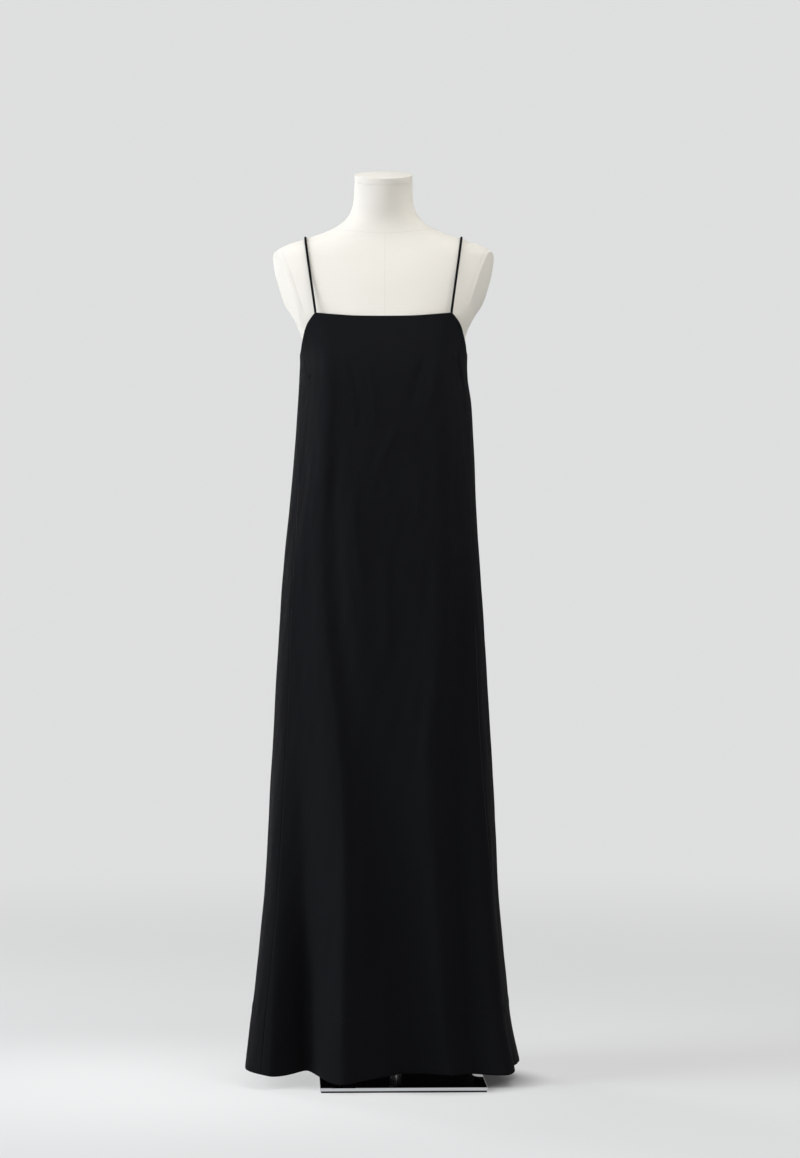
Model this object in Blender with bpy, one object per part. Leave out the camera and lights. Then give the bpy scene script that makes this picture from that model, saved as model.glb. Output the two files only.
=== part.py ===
"""A black ankle-length slip dress worn by a limbless dress form on a steel stand.

Metres, +Z up, the dress faces -Y and +X is at the viewer's right. The origin lies on the floor
under the axis of the torso. `turn` is the way round the body in degrees: 0 at the front, 90 at +X,
180 at the back and -90 at -X.
"""

import functools
import math

import bmesh
import bpy
from mathutils import Vector

SMOOTH_ANGLE = math.radians(40)


# --- Tables ----------------------------------------------------------------------------------
def smooth_between(keys, values, key):
    """The value at `key` on a smooth curve through rising keys and their values."""
    key = min(max(key, keys[0]), keys[-1])
    i = max(k for k in range(len(keys) - 1) if keys[k] <= key)
    step = keys[i + 1] - keys[i]
    t = (key - keys[i]) / step

    def slope(k):
        low, high = max(k - 1, 0), min(k + 1, len(keys) - 1)
        return (values[high] - values[low]) / (keys[high] - keys[low])

    return (
        values[i] * (1 + 2 * t) * (1 - t) ** 2
        + values[i + 1] * (3 - 2 * t) * t * t
        + slope(i) * step * t * (1 - t) ** 2
        - slope(i + 1) * step * t * t * (1 - t)
    )


class Table:
    """Rows of numbers under named columns, looked up by the first column."""

    def __init__(self, columns, rows):
        rows = sorted(rows)
        self.keys = [row[0] for row in rows]
        self.columns = {name: [row[k] for row in rows] for k, name in enumerate(columns)}

    def at(self, key, column):
        """The value of a named column on a smooth curve through the rows."""
        return smooth_between(self.keys, self.columns[column], key)


# --- Stand -----------------------------------------------------------------------------------
PLATE_SIDE = 0.286
PLATE_THICK = 0.006
PLATE_EDGE = 0.0008
PLATE_CENTRE = (0.031, -0.012)
PLATE_TURN = math.radians(2)
PAD_SIDE = 0.283
PAD_THICK = 0.0025
POLE_X = 0.021
POLE_RADIUS = 0.011
POLE_SIDES = 24
FLANGE_RADIUS = 0.042
FLANGE_THICK = 0.008
JOINT_GAP = 0.0003

# --- Dress form ------------------------------------------------------------------------------
FORM_BOTTOM = 0.790
FORM_COLUMNS = 48
CAP_CENTRE = Vector((0.0, -0.023, 1.5803))
CAP_TILT = math.radians(14.0)
CAP_THICK = 0.011
ARM_CENTRE = Vector((0.1835, 0.0, 1.420))
ARM_DOWN = math.radians(15)
ARM_FORWARD = math.radians(15)
ARM_PLATE_THICK = 0.005
NECK_CUTTER = (0.30, 0.30)
ARM_CUTTER = (0.20, 0.236)
CUTTER_REACH = 0.12
CUTTER_SIDES = 64
WIDE_SET = 0.03

# Sections of the form, from its foot to above the neck cap.
FORM_SECTIONS = Table(("height", "half_width", "centre", "front", "back", "squareness"), (
    (0.790, 0.1500, 0.000, 0.0880, 0.1040, 2.3),
    (0.850, 0.1570, 0.000, 0.0970, 0.1120, 2.3),
    (0.910, 0.1560, 0.000, 0.0970, 0.1100, 2.3),
    (0.990, 0.1390, 0.000, 0.0880, 0.0920, 2.2),
    (1.065, 0.1170, 0.000, 0.0810, 0.0780, 2.2),
    (1.130, 0.1240, 0.000, 0.0910, 0.0800, 2.3),
    (1.185, 0.1350, 0.000, 0.1120, 0.0870, 2.4),
    (1.230, 0.1395, 0.000, 0.1215, 0.0920, 2.35),
    (1.266, 0.1415, 0.000, 0.1155, 0.0945, 2.25),
    (1.291, 0.1420, 0.000, 0.1080, 0.0960, 2.15),
    (1.309, 0.1465, 0.000, 0.1020, 0.0970, 2.35),
    (1.334, 0.1590, 0.000, 0.0938, 0.0975, 2.65),
    (1.362, 0.1785, 0.000, 0.0855, 0.0960, 2.5),
    (1.389, 0.1930, 0.000, 0.0785, 0.0930, 2.3),
    (1.409, 0.1990, 0.000, 0.0725, 0.0890, 2.3),
    (1.427, 0.1990, 0.000, 0.0665, 0.0835, 2.3),
    (1.442, 0.1950, 0.000, 0.0615, 0.0775, 2.3),
    (1.452, 0.1840, 0.000, 0.0580, 0.0730, 2.2),
    (1.460, 0.1690, 0.000, 0.0555, 0.0700, 2.1),
    (1.468, 0.1450, 0.000, 0.0535, 0.0670, 2.0),
    (1.480, 0.1090, 0.001, 0.0530, 0.0620, 2.0),
    (1.491, 0.0840, 0.001, 0.0530, 0.0585, 2.0),
    (1.506, 0.0645, 0.000, 0.0540, 0.0555, 2.0),
    (1.524, 0.0548, -0.005, 0.0540, 0.0545, 2.0),
    (1.545, 0.0512, -0.011, 0.0540, 0.0540, 2.0),
    (1.572, 0.0505, -0.019, 0.0540, 0.0535, 2.0),
    (1.610, 0.0505, -0.030, 0.0540, 0.0535, 2.0),
))

# --- Dress -----------------------------------------------------------------------------------
CLOTH_THICK = 0.0015
SEAM_GAP = 0.0003
HEM_LEVEL = 0.026
FRONT_COLUMNS = 44
BACK_COLUMNS = 40
ROWS = 26
ROW_CROWDING = 1.25
SEAM_TOP_TURN = 84.0
TURN_STEP = 0.5
HEIGHT_STEP = 0.002

# Sections of the dress, from the neckline to the hem.
DRESS_SECTIONS = Table(("height", "left", "right", "front", "back", "squareness"), (
    (1.340, 0.1750, 0.1760, 0.0960, 0.1020, 2.45),
    (1.325, 0.1656, 0.1678, 0.1005, 0.1015, 2.45),
    (1.309, 0.1585, 0.1598, 0.1060, 0.1010, 2.45),
    (1.291, 0.1515, 0.1532, 0.1120, 0.1000, 2.5),
    (1.266, 0.1462, 0.1472, 0.1195, 0.0990, 2.55),
    (1.226, 0.1470, 0.1475, 0.1252, 0.0980, 2.6),
    (1.182, 0.1493, 0.1538, 0.1265, 0.0980, 2.6),
    (1.104, 0.1550, 0.1582, 0.1275, 0.1000, 2.55),
    (0.972, 0.1660, 0.1641, 0.1300, 0.1110, 2.5),
    (0.841, 0.1779, 0.1728, 0.1330, 0.1290, 2.45),
    (0.666, 0.1890, 0.1818, 0.1370, 0.1460, 2.4),
    (0.491, 0.1990, 0.1921, 0.1400, 0.1610, 2.4),
    (0.316, 0.2097, 0.1999, 0.1430, 0.1750, 2.4),
    (0.185, 0.2226, 0.2113, 0.1450, 0.1850, 2.4),
    (0.097, 0.2338, 0.2199, 0.1470, 0.1910, 2.4),
    (0.015, 0.2425, 0.2364, 0.1485, 0.1960, 2.4),
))

# Height of the top edge and of the hem round the body. The two corners carry the straps.
FRONT_CORNER_TURN = 37.6
BACK_CORNER_TURN = 138.0
NECKLINE = Table(("turn", "height"), (
    (0.0, 1.3295),
    (13.0, 1.3301),
    (27.0, 1.3331),
    (37.6, 1.3357),
))
ARMHOLE = Table(("turn", "height"), (
    (37.6, 1.3357),
    (45.2, 1.3255),
    (56.0, 1.3105),
    (64.0, 1.2970),
    (72.0, 1.2830),
    (80.0, 1.2705),
    (90.0, 1.2630),
    (104.0, 1.2610),
    (118.0, 1.2665),
    (130.0, 1.2780),
    (138.0, 1.2900),
))
BACK_NECKLINE = Table(("turn", "height"), (
    (138.0, 1.2900),
    (156.0, 1.2850),
    (180.0, 1.2830),
))
HEM = Table(("turn", "height"), (
    (-180.0, 0.0280),
    (-150.0, 0.0300),
    (-110.0, 0.0290),
    (-75.0, 0.0305),
    (-60.0, 0.0295),
    (-48.0, 0.0265),
    (-41.0, 0.0235),
    (-33.5, 0.0280),
    (-24.0, 0.0245),
    (-13.0, 0.0175),
    (-4.0, 0.0220),
    (5.5, 0.0260),
    (21.0, 0.0262),
    (37.0, 0.0245),
    (55.0, 0.0225),
    (64.0, 0.0262),
    (110.0, 0.0290),
    (150.0, 0.0300),
    (180.0, 0.0280),
))

# Turn of each side seam down the dress.
SIDE_SEAMS = Table(("height", "left", "right"), (
    (1.260, -84.0, 84.0),
    (1.100, -70.0, 71.0),
    (0.900, -61.0, 63.0),
    (0.660, -57.0, 58.5),
    (0.450, -55.0, 59.0),
    (0.250, -52.5, 66.0),
    (0.030, -49.0, 72.0),
))

# Fold lines in order round the dress: crests and valleys, each with its turn and how far it pushes
# the cloth outwards (+) or inwards (-), at five levels. The cloth runs smoothly from line to line.
FOLD_LEVELS = {"hem": 0.03, "knee": 0.50, "hip": 0.90, "waist": 1.08, "bust": 1.30}
FOLD_COLUMNS = (
    "bust_turn", "waist_turn", "hip_turn", "knee_turn", "hem_turn",
    "bust_depth", "waist_depth", "hip_depth", "knee_depth", "hem_depth",
)
FOLDS = (
    (-172.0, -172.0, -172.0, -172.0, -173.0, 0.000, 0.000, -0.001, -0.008, -0.018),
    (-154.0, -154.0, -154.0, -155.0, -157.0, 0.000, 0.000, 0.001, 0.008, 0.024),
    (-136.0, -136.0, -136.0, -137.0, -140.0, 0.000, 0.000, 0.000, -0.006, -0.024),
    (-118.0, -118.0, -118.0, -118.0, -119.0, 0.000, 0.000, 0.000, 0.004, 0.018),
    (-96.0, -96.0, -96.0, -98.0, -100.0, 0.000, 0.000, 0.000, -0.002, -0.006),
    (-80.0, -80.0, -78.0, -78.0, -80.0, 0.000, 0.000, 0.001, 0.002, 0.001),
    (-58.0, -58.0, -60.0, -58.0, -45.0, -0.002, -0.002, 0.000, 0.006, 0.028),
    (-46.0, -46.0, -47.0, -41.0, -34.0, 0.002, 0.002, -0.001, -0.008, -0.042),
    (-34.0, -33.0, -33.0, -16.5, -13.0, 0.008, 0.009, 0.005, 0.011, 0.040),
    (-22.0, -26.0, -24.0, -10.0, -5.0, 0.004, 0.004, -0.002, -0.003, 0.016),
    (-8.0, -19.0, -14.0, -3.4, 5.5, 0.000, 0.003, 0.003, -0.015, -0.033),
    (8.0, 4.0, 5.0, 6.0, 13.0, 0.000, 0.000, -0.005, -0.014, -0.033),
    (22.0, 22.0, 20.0, 14.0, 19.0, 0.004, 0.004, -0.001, -0.008, -0.023),
    (34.0, 33.0, 32.0, 23.0, 26.0, 0.008, 0.009, 0.006, 0.000, -0.008),
    (46.0, 46.0, 46.0, 38.0, 40.0, 0.002, 0.002, -0.001, -0.011, -0.021),
    (60.0, 60.0, 60.0, 56.0, 57.0, -0.002, -0.002, 0.002, 0.009, 0.021),
    (72.0, 72.0, 74.0, 75.0, 78.0, -0.001, -0.001, 0.000, 0.002, -0.005),
    (84.0, 86.0, 90.0, 98.0, 103.0, 0.000, 0.000, 0.000, 0.002, 0.010),
    (112.0, 112.0, 112.0, 115.0, 118.0, 0.000, 0.000, 0.000, 0.001, 0.002),
    (130.0, 130.0, 130.0, 131.0, 133.0, 0.000, 0.000, 0.000, -0.006, -0.022),
    (147.0, 147.0, 147.0, 148.0, 150.0, 0.000, 0.000, 0.001, 0.008, 0.024),
    (167.0, 167.0, 167.0, 167.0, 168.0, 0.000, 0.000, 0.000, 0.003, 0.010),
)

# --- Straps ----------------------------------------------------------------------------------
STRAP_RADIUS = 0.002
STRAP_TOP_X = 0.1365
STRAP_CLEARANCE = 0.0003
STRAP_FOOT = 0.003
SKIN_POINTS = 40
SHOULDER_RANGE = (1.442, 1.491)
BISECTIONS = 40
STRAP_BEVEL_RESOLUTION = 2

# --- Finishes: colour, roughness, metallic ---------------------------------------------------
CLOTH_FINISH = ((0.012, 0.012, 0.014), 0.62, 0.0)
FORM_FINISH = ((0.80, 0.77, 0.70), 0.85, 0.0)
STEEL_FINISH = ((0.62, 0.63, 0.65), 0.12, 1.0)
RUBBER_FINISH = ((0.02, 0.02, 0.02), 0.90, 0.0)


def clear_scene():
    """Takes away whatever objects are there."""
    for obj in list(bpy.data.objects):
        bpy.data.objects.remove(obj)


def finish_material(name, finish):
    """A material from a finish's colour, roughness and metallic."""
    colour, roughness, metallic = finish
    material = bpy.data.materials.new(name)
    material.use_nodes = True
    shader = material.node_tree.nodes["Principled BSDF"]
    shader.inputs["Base Color"].default_value = (*colour, 1.0)
    shader.inputs["Roughness"].default_value = roughness
    shader.inputs["Metallic"].default_value = metallic
    return material


def add_object(name, mesh, material):
    """A named object whose faces shade as one skin except across sharp edges."""
    obj = bpy.data.objects.new(name, mesh)
    bpy.context.scene.collection.objects.link(obj)
    mesh.materials.append(material)
    mesh.shade_smooth()
    mesh.set_sharp_from_angle(angle=SMOOTH_ANGLE)
    return obj


# --- Sections --------------------------------------------------------------------------------
def wrapped(turn):
    """The same turn between -180 and 180."""
    return (turn + 180) % 360 - 180


def power_of(value, exponent):
    """The power of a number's size, with the number's sign."""
    return math.copysign(abs(value) ** exponent, value)


def section_point(turn, half_width, depth, squareness):
    """A point of a rounded-rectangle section, and its outward direction."""
    angle = math.radians(turn)
    across = power_of(math.sin(angle), 2 / squareness)
    along = -power_of(math.cos(angle), 2 / squareness)
    outward = Vector(
        (
            power_of(across, squareness - 1) / half_width,
            power_of(along, squareness - 1) / depth,
            0.0,
        )
    )
    return Vector((half_width * across, depth * along, 0.0)), outward.normalized()


# --- Form ------------------------------------------------------------------------------------
def form_point(turn, height):
    """A point of the form's skin."""
    half_width = FORM_SECTIONS.at(height, "half_width")
    depth = FORM_SECTIONS.at(height, "front" if abs(turn) < 90 else "back")
    point, _ = section_point(turn, half_width, depth, FORM_SECTIONS.at(height, "squareness"))
    return point + Vector((0.0, FORM_SECTIONS.at(height, "centre"), height))


def form_heights():
    """The heights of the form's rings: its table's rows, and one halfway between wide-set rows."""
    heights = []
    for lower, upper in zip(FORM_SECTIONS.keys, FORM_SECTIONS.keys[1:]):
        heights.append(lower)
        if upper - lower > WIDE_SET:
            heights.append((lower + upper) / 2)
    return [*heights, FORM_SECTIONS.keys[-1]]


def whole_form_mesh():
    """The form before its neck and arms are planed off, closed flat at the foot and the top."""
    bm = bmesh.new()
    rings = []
    for height in form_heights():
        ring = []
        for column in range(FORM_COLUMNS):
            turn = -180 + 360 * column / FORM_COLUMNS
            ring.append(bm.verts.new(form_point(turn, height)))
        rings.append(ring)
    for lower, upper in zip(rings, rings[1:]):
        for k in range(FORM_COLUMNS):
            after = (k + 1) % FORM_COLUMNS
            bm.faces.new((lower[k], lower[after], upper[after], upper[k]))
    bm.faces.new(list(reversed(rings[0])))
    bm.faces.new(rings[-1])
    return bm_to_mesh(bm, "whole_form")


def bm_to_mesh(bm, name):
    """A mesh with its faces turned outwards."""
    bmesh.ops.recalc_face_normals(bm, faces=bm.faces)
    mesh = bpy.data.meshes.new(name)
    bm.to_mesh(mesh)
    bm.free()
    return mesh


def cap_normal():
    """The direction in which the flat top of the neck faces: up and a little forwards."""
    return Vector((0.0, -math.sin(CAP_TILT), math.cos(CAP_TILT)))


def arm_normal(side):
    """The direction in which the flat end of an arm faces: outwards, down and a little forwards."""
    return Vector(
        (
            side * math.cos(ARM_DOWN) * math.cos(ARM_FORWARD),
            -math.sin(ARM_FORWARD),
            -math.sin(ARM_DOWN) * math.cos(ARM_FORWARD),
        )
    )


def slab_cutter(name, sides, centre, normal, start, end):
    """A hidden oval slab across `normal`, reaching from `start` to `end` past `centre`."""
    bm = bmesh.new()
    bmesh.ops.create_cone(bm, cap_ends=True, segments=CUTTER_SIDES, radius1=0.5, radius2=0.5, depth=1.0)
    bmesh.ops.scale(bm, vec=(*sides, end - start), verts=bm.verts)
    bmesh.ops.translate(bm, vec=(0.0, 0.0, (start + end) / 2), verts=bm.verts)
    cutter = bpy.data.objects.new(name, bm_to_mesh(bm, name))
    bpy.context.scene.collection.objects.link(cutter)
    cutter.location = centre
    cutter.rotation_euler = normal.to_track_quat("Z", "Y").to_euler()
    cutter.hide_render = True
    cutter.display_type = "WIRE"
    return cutter


def add_boolean(obj, cutter, operation):
    """Cuts an object with a cutter, or keeps what lies in both."""
    modifier = obj.modifiers.new(f"{operation.lower()}_{cutter.name}", "BOOLEAN")
    modifier.operation = operation
    modifier.solver = "EXACT"
    modifier.object = cutter


def build_form(material):
    """The torso, its neck cap and its two arm plates, parted by flat cuts."""
    torso = add_object("form_torso", whole_form_mesh(), material)
    ends = [("neck_cap", NECK_CUTTER, CAP_CENTRE, cap_normal(), CAP_THICK)]
    for side, label in ((-1, "left"), (1, "right")):
        centre = Vector((side * ARM_CENTRE.x, ARM_CENTRE.y, ARM_CENTRE.z))
        ends.append((f"arm_plate_{label}", ARM_CUTTER, centre, arm_normal(side), ARM_PLATE_THICK))
    for label, sides, centre, normal, thick in ends:
        away = slab_cutter(f"away_{label}", sides, centre, normal, -thick - JOINT_GAP, CUTTER_REACH)
        add_boolean(torso, away, "DIFFERENCE")
        piece = add_object(f"form_{label}", whole_form_mesh(), material)
        slab = slab_cutter(f"slab_{label}", sides, centre, normal, -thick, 0.0)
        add_boolean(piece, slab, "INTERSECT")


# --- Stand -----------------------------------------------------------------------------------
def box_mesh(name, sides):
    """A box about the origin."""
    bm = bmesh.new()
    bmesh.ops.create_cube(bm, size=1.0)
    bmesh.ops.scale(bm, vec=sides, verts=bm.verts)
    return bm_to_mesh(bm, name)


def disc_mesh(name, radius, bottom, top, x):
    """An upright cylinder between two heights."""
    bm = bmesh.new()
    bmesh.ops.create_cone(
        bm, cap_ends=True, segments=POLE_SIDES, radius1=radius, radius2=radius, depth=top - bottom
    )
    bmesh.ops.translate(bm, vec=(x, 0.0, (bottom + top) / 2), verts=bm.verts)
    return bm_to_mesh(bm, name)


def build_stand(steel, rubber):
    """The square plate on its rubber pad, the pole, and the flange that carries the torso."""
    pad = add_object("base_pad", box_mesh("base_pad", (PAD_SIDE, PAD_SIDE, PAD_THICK)), rubber)
    pad.location = (*PLATE_CENTRE, PAD_THICK / 2)
    pad.rotation_euler.z = PLATE_TURN
    plate_bottom = PAD_THICK + JOINT_GAP
    plate_top = plate_bottom + PLATE_THICK
    plate_mesh = box_mesh("base_plate", (PLATE_SIDE, PLATE_SIDE, PLATE_THICK))
    plate = add_object("base_plate", plate_mesh, steel)
    plate.location = (*PLATE_CENTRE, (plate_bottom + plate_top) / 2)
    plate.rotation_euler.z = PLATE_TURN
    bevel = plate.modifiers.new("polished_edge", "BEVEL")
    bevel.width = PLATE_EDGE
    bevel.segments = 2
    flange_top = FORM_BOTTOM - JOINT_GAP
    flange_bottom = flange_top - FLANGE_THICK
    flange = disc_mesh("pole_flange", FLANGE_RADIUS, flange_bottom, flange_top, POLE_X)
    add_object("pole_flange", flange, steel)
    pole_bottom = plate_top + JOINT_GAP
    pole_top = flange_bottom - JOINT_GAP
    add_object("pole", disc_mesh("pole", POLE_RADIUS, pole_bottom, pole_top, POLE_X), steel)


# --- Dress -----------------------------------------------------------------------------------
def top_height(turn):
    """The height of the dress's top edge: neckline, armholes and back neckline."""
    around = abs(turn)
    if around <= FRONT_CORNER_TURN:
        return NECKLINE.at(around, "height")
    if around <= BACK_CORNER_TURN:
        return ARMHOLE.at(around, "height")
    return BACK_NECKLINE.at(around, "height")


@functools.cache
def fold_marks(height):
    """The turns and the depths of the fold lines at a height, with two repeated past each end."""
    levels = list(FOLD_LEVELS.values())
    turns, depths = [], []
    for fold in FOLDS:
        row = dict(zip(FOLD_COLUMNS, fold))
        turns.append(smooth_between(levels, [row[f"{level}_turn"] for level in FOLD_LEVELS], height))
        depths.append(smooth_between(levels, [row[f"{level}_depth"] for level in FOLD_LEVELS], height))
    before = [turn - 360 for turn in turns[-2:]]
    after = [turn + 360 for turn in turns[:2]]
    return [*before, *turns, *after], [*depths[-2:], *depths, *depths[:2]]


def dress_point(turn, height):
    """A point of the dress's outer surface."""
    turn = wrapped(turn)
    half_width = DRESS_SECTIONS.at(height, "left" if turn < 0 else "right")
    depth = DRESS_SECTIONS.at(height, "front" if abs(turn) < 90 else "back")
    point, outward = section_point(turn, half_width, depth, DRESS_SECTIONS.at(height, "squareness"))
    point += outward * smooth_between(*fold_marks(height), turn)
    point.z = height
    return point


def left_seam(height):
    """The turn of the left side seam at a height."""
    return SIDE_SEAMS.at(height, "left")


def right_seam(height):
    """The turn of the right side seam at a height."""
    return SIDE_SEAMS.at(height, "right")


def left_seam_from_behind(height):
    """The turn of the left side seam, counted on past the back."""
    return left_seam(height) + 360


def step_across(turn, height):
    """The way from a little before a turn to a little past it on the dress's outer surface."""
    return dress_point(turn + TURN_STEP, height) - dress_point(turn - TURN_STEP, height)


def half_gap_in_turn(turn, height):
    """Half the seam's gap, as degrees of turn."""
    return SEAM_GAP * TURN_STEP / step_across(turn, height).length


def dress_outward(turn, height):
    """The direction square to the dress's outer surface."""
    down = dress_point(turn, height - HEIGHT_STEP) - dress_point(turn, height + HEIGHT_STEP)
    return down.cross(step_across(turn, height)).normalized()


def panel_columns(count, corner_shares):
    """Evenly spaced shares across a panel, the nearest of them moved onto its strap corners."""
    shares = [k / count for k in range(count + 1)]
    for corner in corner_shares:
        nearest = min(range(1, count), key=lambda k: abs(shares[k] - corner))
        shares[nearest] = corner
    return shares


def panel_points(first_turn, last_turn, columns, corners):
    """A panel's outer and inner points between two seams, as rows from its top edge to its hem.

    `first_turn` and `last_turn` give the turn of its two edges at a height.
    """
    top = top_height(SEAM_TOP_TURN)
    top_start, top_span = first_turn(top), last_turn(top) - first_turn(top)
    hem_start, hem_span = first_turn(HEM_LEVEL), last_turn(HEM_LEVEL) - first_turn(HEM_LEVEL)
    shares = panel_columns(columns, [(corner - top_start) / top_span for corner in corners])
    outer, inner = [], []
    for row in range(ROWS + 1):
        down = (row / ROWS) ** ROW_CROWDING
        outer_row, inner_row = [], []
        for share in shares:
            high = top_height(wrapped(top_start + top_span * share))
            low = HEM.at(wrapped(hem_start + hem_span * share), "height")
            height = high + (low - high) * down
            start, end = first_turn(height), last_turn(height)
            turn = start + (end - start) * share
            half_gap = half_gap_in_turn(turn, height)
            turn += half_gap * (share == 0) - half_gap * (share == 1)
            point = dress_point(turn, height)
            outer_row.append(point)
            inner_row.append(point - dress_outward(turn, height) * CLOTH_THICK)
        outer.append(outer_row)
        inner.append(inner_row)
    return outer, inner


def rim(grid):
    """The points round the edge of a grid, in order."""
    right = [row[-1] for row in grid[1:-1]]
    left = [row[0] for row in grid[1:-1]]
    return grid[0] + right + grid[-1][::-1] + left[::-1]


def cloth_mesh(name, outer_points, inner_points):
    """A closed wall of cloth between its outer and its inner points."""
    bm = bmesh.new()
    outer = [[bm.verts.new(point) for point in row] for row in outer_points]
    inner = [[bm.verts.new(point) for point in row] for row in inner_points]
    for upper, lower in zip(outer, outer[1:]):
        for k in range(len(upper) - 1):
            bm.faces.new((upper[k], lower[k], lower[k + 1], upper[k + 1]))
    for upper, lower in zip(inner, inner[1:]):
        for k in range(len(upper) - 1):
            bm.faces.new((upper[k + 1], lower[k + 1], lower[k], upper[k]))
    rim_out, rim_in = rim(outer), rim(inner)
    for k in range(len(rim_out)):
        after = (k + 1) % len(rim_out)
        bm.faces.new((rim_out[k], rim_out[after], rim_in[after], rim_in[k]))
    return bm_to_mesh(bm, name)


def build_dress(cloth):
    """The front and back panels, parted at the side seams."""
    front_corners = (-FRONT_CORNER_TURN, FRONT_CORNER_TURN)
    front = panel_points(left_seam, right_seam, FRONT_COLUMNS, front_corners)
    add_object("dress_front", cloth_mesh("dress_front", *front), cloth)
    back_corners = (BACK_CORNER_TURN, 360 - BACK_CORNER_TURN)
    back = panel_points(right_seam, left_seam_from_behind, BACK_COLUMNS, back_corners)
    add_object("dress_back", cloth_mesh("dress_back", *back), cloth)


# --- Straps ----------------------------------------------------------------------------------
def strap_end(side, turn):
    """Where a strap meets the dress's top edge, in the middle of the cloth."""
    height = top_height(turn)
    return dress_point(side * turn, height) - dress_outward(side * turn, height) * CLOTH_THICK / 2


def shoulder_height(x):
    """The height of the form's shoulder line at a distance from its axis."""
    low, high = SHOULDER_RANGE
    for _ in range(BISECTIONS):
        middle = (low + high) / 2
        if FORM_SECTIONS.at(middle, "half_width") > x:
            low = middle
        else:
            high = middle
    return low


def form_depth(x, height, direction):
    """Where the form's skin lies in front of (-1) or behind (1) a place that is seen from the front."""
    squareness = FORM_SECTIONS.at(height, "squareness")
    inside = max(1 - (abs(x) / FORM_SECTIONS.at(height, "half_width")) ** squareness, 0.0)
    depth = FORM_SECTIONS.at(height, "front" if direction < 0 else "back")
    return FORM_SECTIONS.at(height, "centre") + direction * depth * inside ** (1 / squareness)


def skin_line(end, direction):
    """The form's skin under a strap, from its end on the dress up to the top of the shoulder."""
    top = shoulder_height(STRAP_TOP_X)
    line = []
    for k in range(SKIN_POINTS + 1):
        rise = math.sin(math.pi / 2 * k / SKIN_POINTS)
        height = end.z + (top - end.z) * rise
        x = abs(end.x) + (STRAP_TOP_X - abs(end.x)) * rise
        line.append(Vector((math.copysign(x, end.x), form_depth(x, height, direction), height)))
    return line


def pulled_taut(points):
    """The points left on the outside when a strap over them is pulled taut, seen from the side."""
    taut = []
    for point in points:
        while len(taut) > 1:
            before, last = taut[-2], taut[-1]
            step, onward = last - before, point - before
            if step.y * onward.z < step.z * onward.y:
                break
            taut.pop()
        taut.append(point)
    return taut


def strap_route(side):
    """A strap's middle line: up from the front corner, over the shoulder, down to the back corner."""
    front_end = strap_end(side, FRONT_CORNER_TURN)
    back_end = strap_end(side, BACK_CORNER_TURN)
    skin = skin_line(front_end, -1) + skin_line(back_end, 1)[-2::-1]
    over = []
    for before, point, after in zip(skin, skin[1:], skin[2:]):
        along = after - before
        outward = Vector((0.0, -along.z, along.y)).normalized()
        over.append(point + outward * (STRAP_RADIUS + STRAP_CLEARANCE))
    foot = Vector((0.0, 0.0, JOINT_GAP))
    first, last = front_end + foot, back_end + foot
    rise = Vector((0.0, 0.0, STRAP_FOOT))
    return [first, *pulled_taut([first + rise, *over, last + rise]), last]


def add_strap(name, route, material):
    """A round strap along a route, closed at both ends."""
    curve = bpy.data.curves.new(name, "CURVE")
    curve.dimensions = "3D"
    curve.bevel_depth = STRAP_RADIUS
    curve.bevel_resolution = STRAP_BEVEL_RESOLUTION
    curve.use_fill_caps = True
    spline = curve.splines.new("POLY")
    spline.points.add(len(route) - 1)
    for point, place in zip(spline.points, route):
        point.co = (*place, 1.0)
    strap = bpy.data.objects.new(name, curve)
    bpy.context.scene.collection.objects.link(strap)
    curve.materials.append(material)


def build_straps(cloth):
    """The two straps, one over each shoulder."""
    for side, label in ((-1, "left"), (1, "right")):
        add_strap(f"strap_{label}", strap_route(side), cloth)


def main():
    """Builds the stand, the form and the dress on it."""
    clear_scene()
    cloth = finish_material("black_cloth", CLOTH_FINISH)
    cover = finish_material("cotton_cover", FORM_FINISH)
    steel = finish_material("polished_steel", STEEL_FINISH)
    rubber = finish_material("rubber", RUBBER_FINISH)
    build_stand(steel, rubber)
    build_form(cover)
    build_dress(cloth)
    build_straps(cloth)


main()
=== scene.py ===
"""The looks of a black slip dress, its dress form and their stand.

Metres, +Z up. The dress faces -Y and +X is at the right of someone who looks at its front. `turn`
is the way round the body in degrees: 0 at the front, 90 at +X, 180 at the back and -90 at -X.
"""

import logging
import math
from dataclasses import dataclass, field
from enum import Enum

import bmesh
import bpy
import numpy as np
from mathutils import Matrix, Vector
from mathutils.bvhtree import BVHTree


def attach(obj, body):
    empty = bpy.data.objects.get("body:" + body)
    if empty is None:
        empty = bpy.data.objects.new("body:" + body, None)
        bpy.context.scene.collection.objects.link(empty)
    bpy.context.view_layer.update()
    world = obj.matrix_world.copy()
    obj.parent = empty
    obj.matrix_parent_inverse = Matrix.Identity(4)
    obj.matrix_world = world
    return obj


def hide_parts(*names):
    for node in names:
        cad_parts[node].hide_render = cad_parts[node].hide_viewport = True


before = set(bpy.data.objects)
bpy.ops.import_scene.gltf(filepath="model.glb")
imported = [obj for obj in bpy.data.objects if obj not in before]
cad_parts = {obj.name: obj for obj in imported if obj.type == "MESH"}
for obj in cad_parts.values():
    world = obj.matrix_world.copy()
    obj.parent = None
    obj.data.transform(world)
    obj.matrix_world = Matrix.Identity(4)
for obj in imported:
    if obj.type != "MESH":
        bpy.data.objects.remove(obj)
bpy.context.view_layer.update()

LOG = logging.getLogger("slip_dress")
BODY = "root"

Array = np.ndarray
Socket = bpy.types.NodeSocket
Triple = tuple[float, float, float]


class Side(Enum):
    """The two faces of the dress and its form."""

    FRONT = "front"
    BACK = "back"

    @property
    def facing(self) -> int:
        """Which way the side faces along Y."""
        return -1 if self is Side.FRONT else 1


class Hand(Enum):
    """Left and right, as the sign of X there."""

    LEFT = -1
    RIGHT = 1

    @property
    def label(self) -> str:
        """The word for it in the names of columns and pieces."""
        return self.name.lower()


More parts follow.
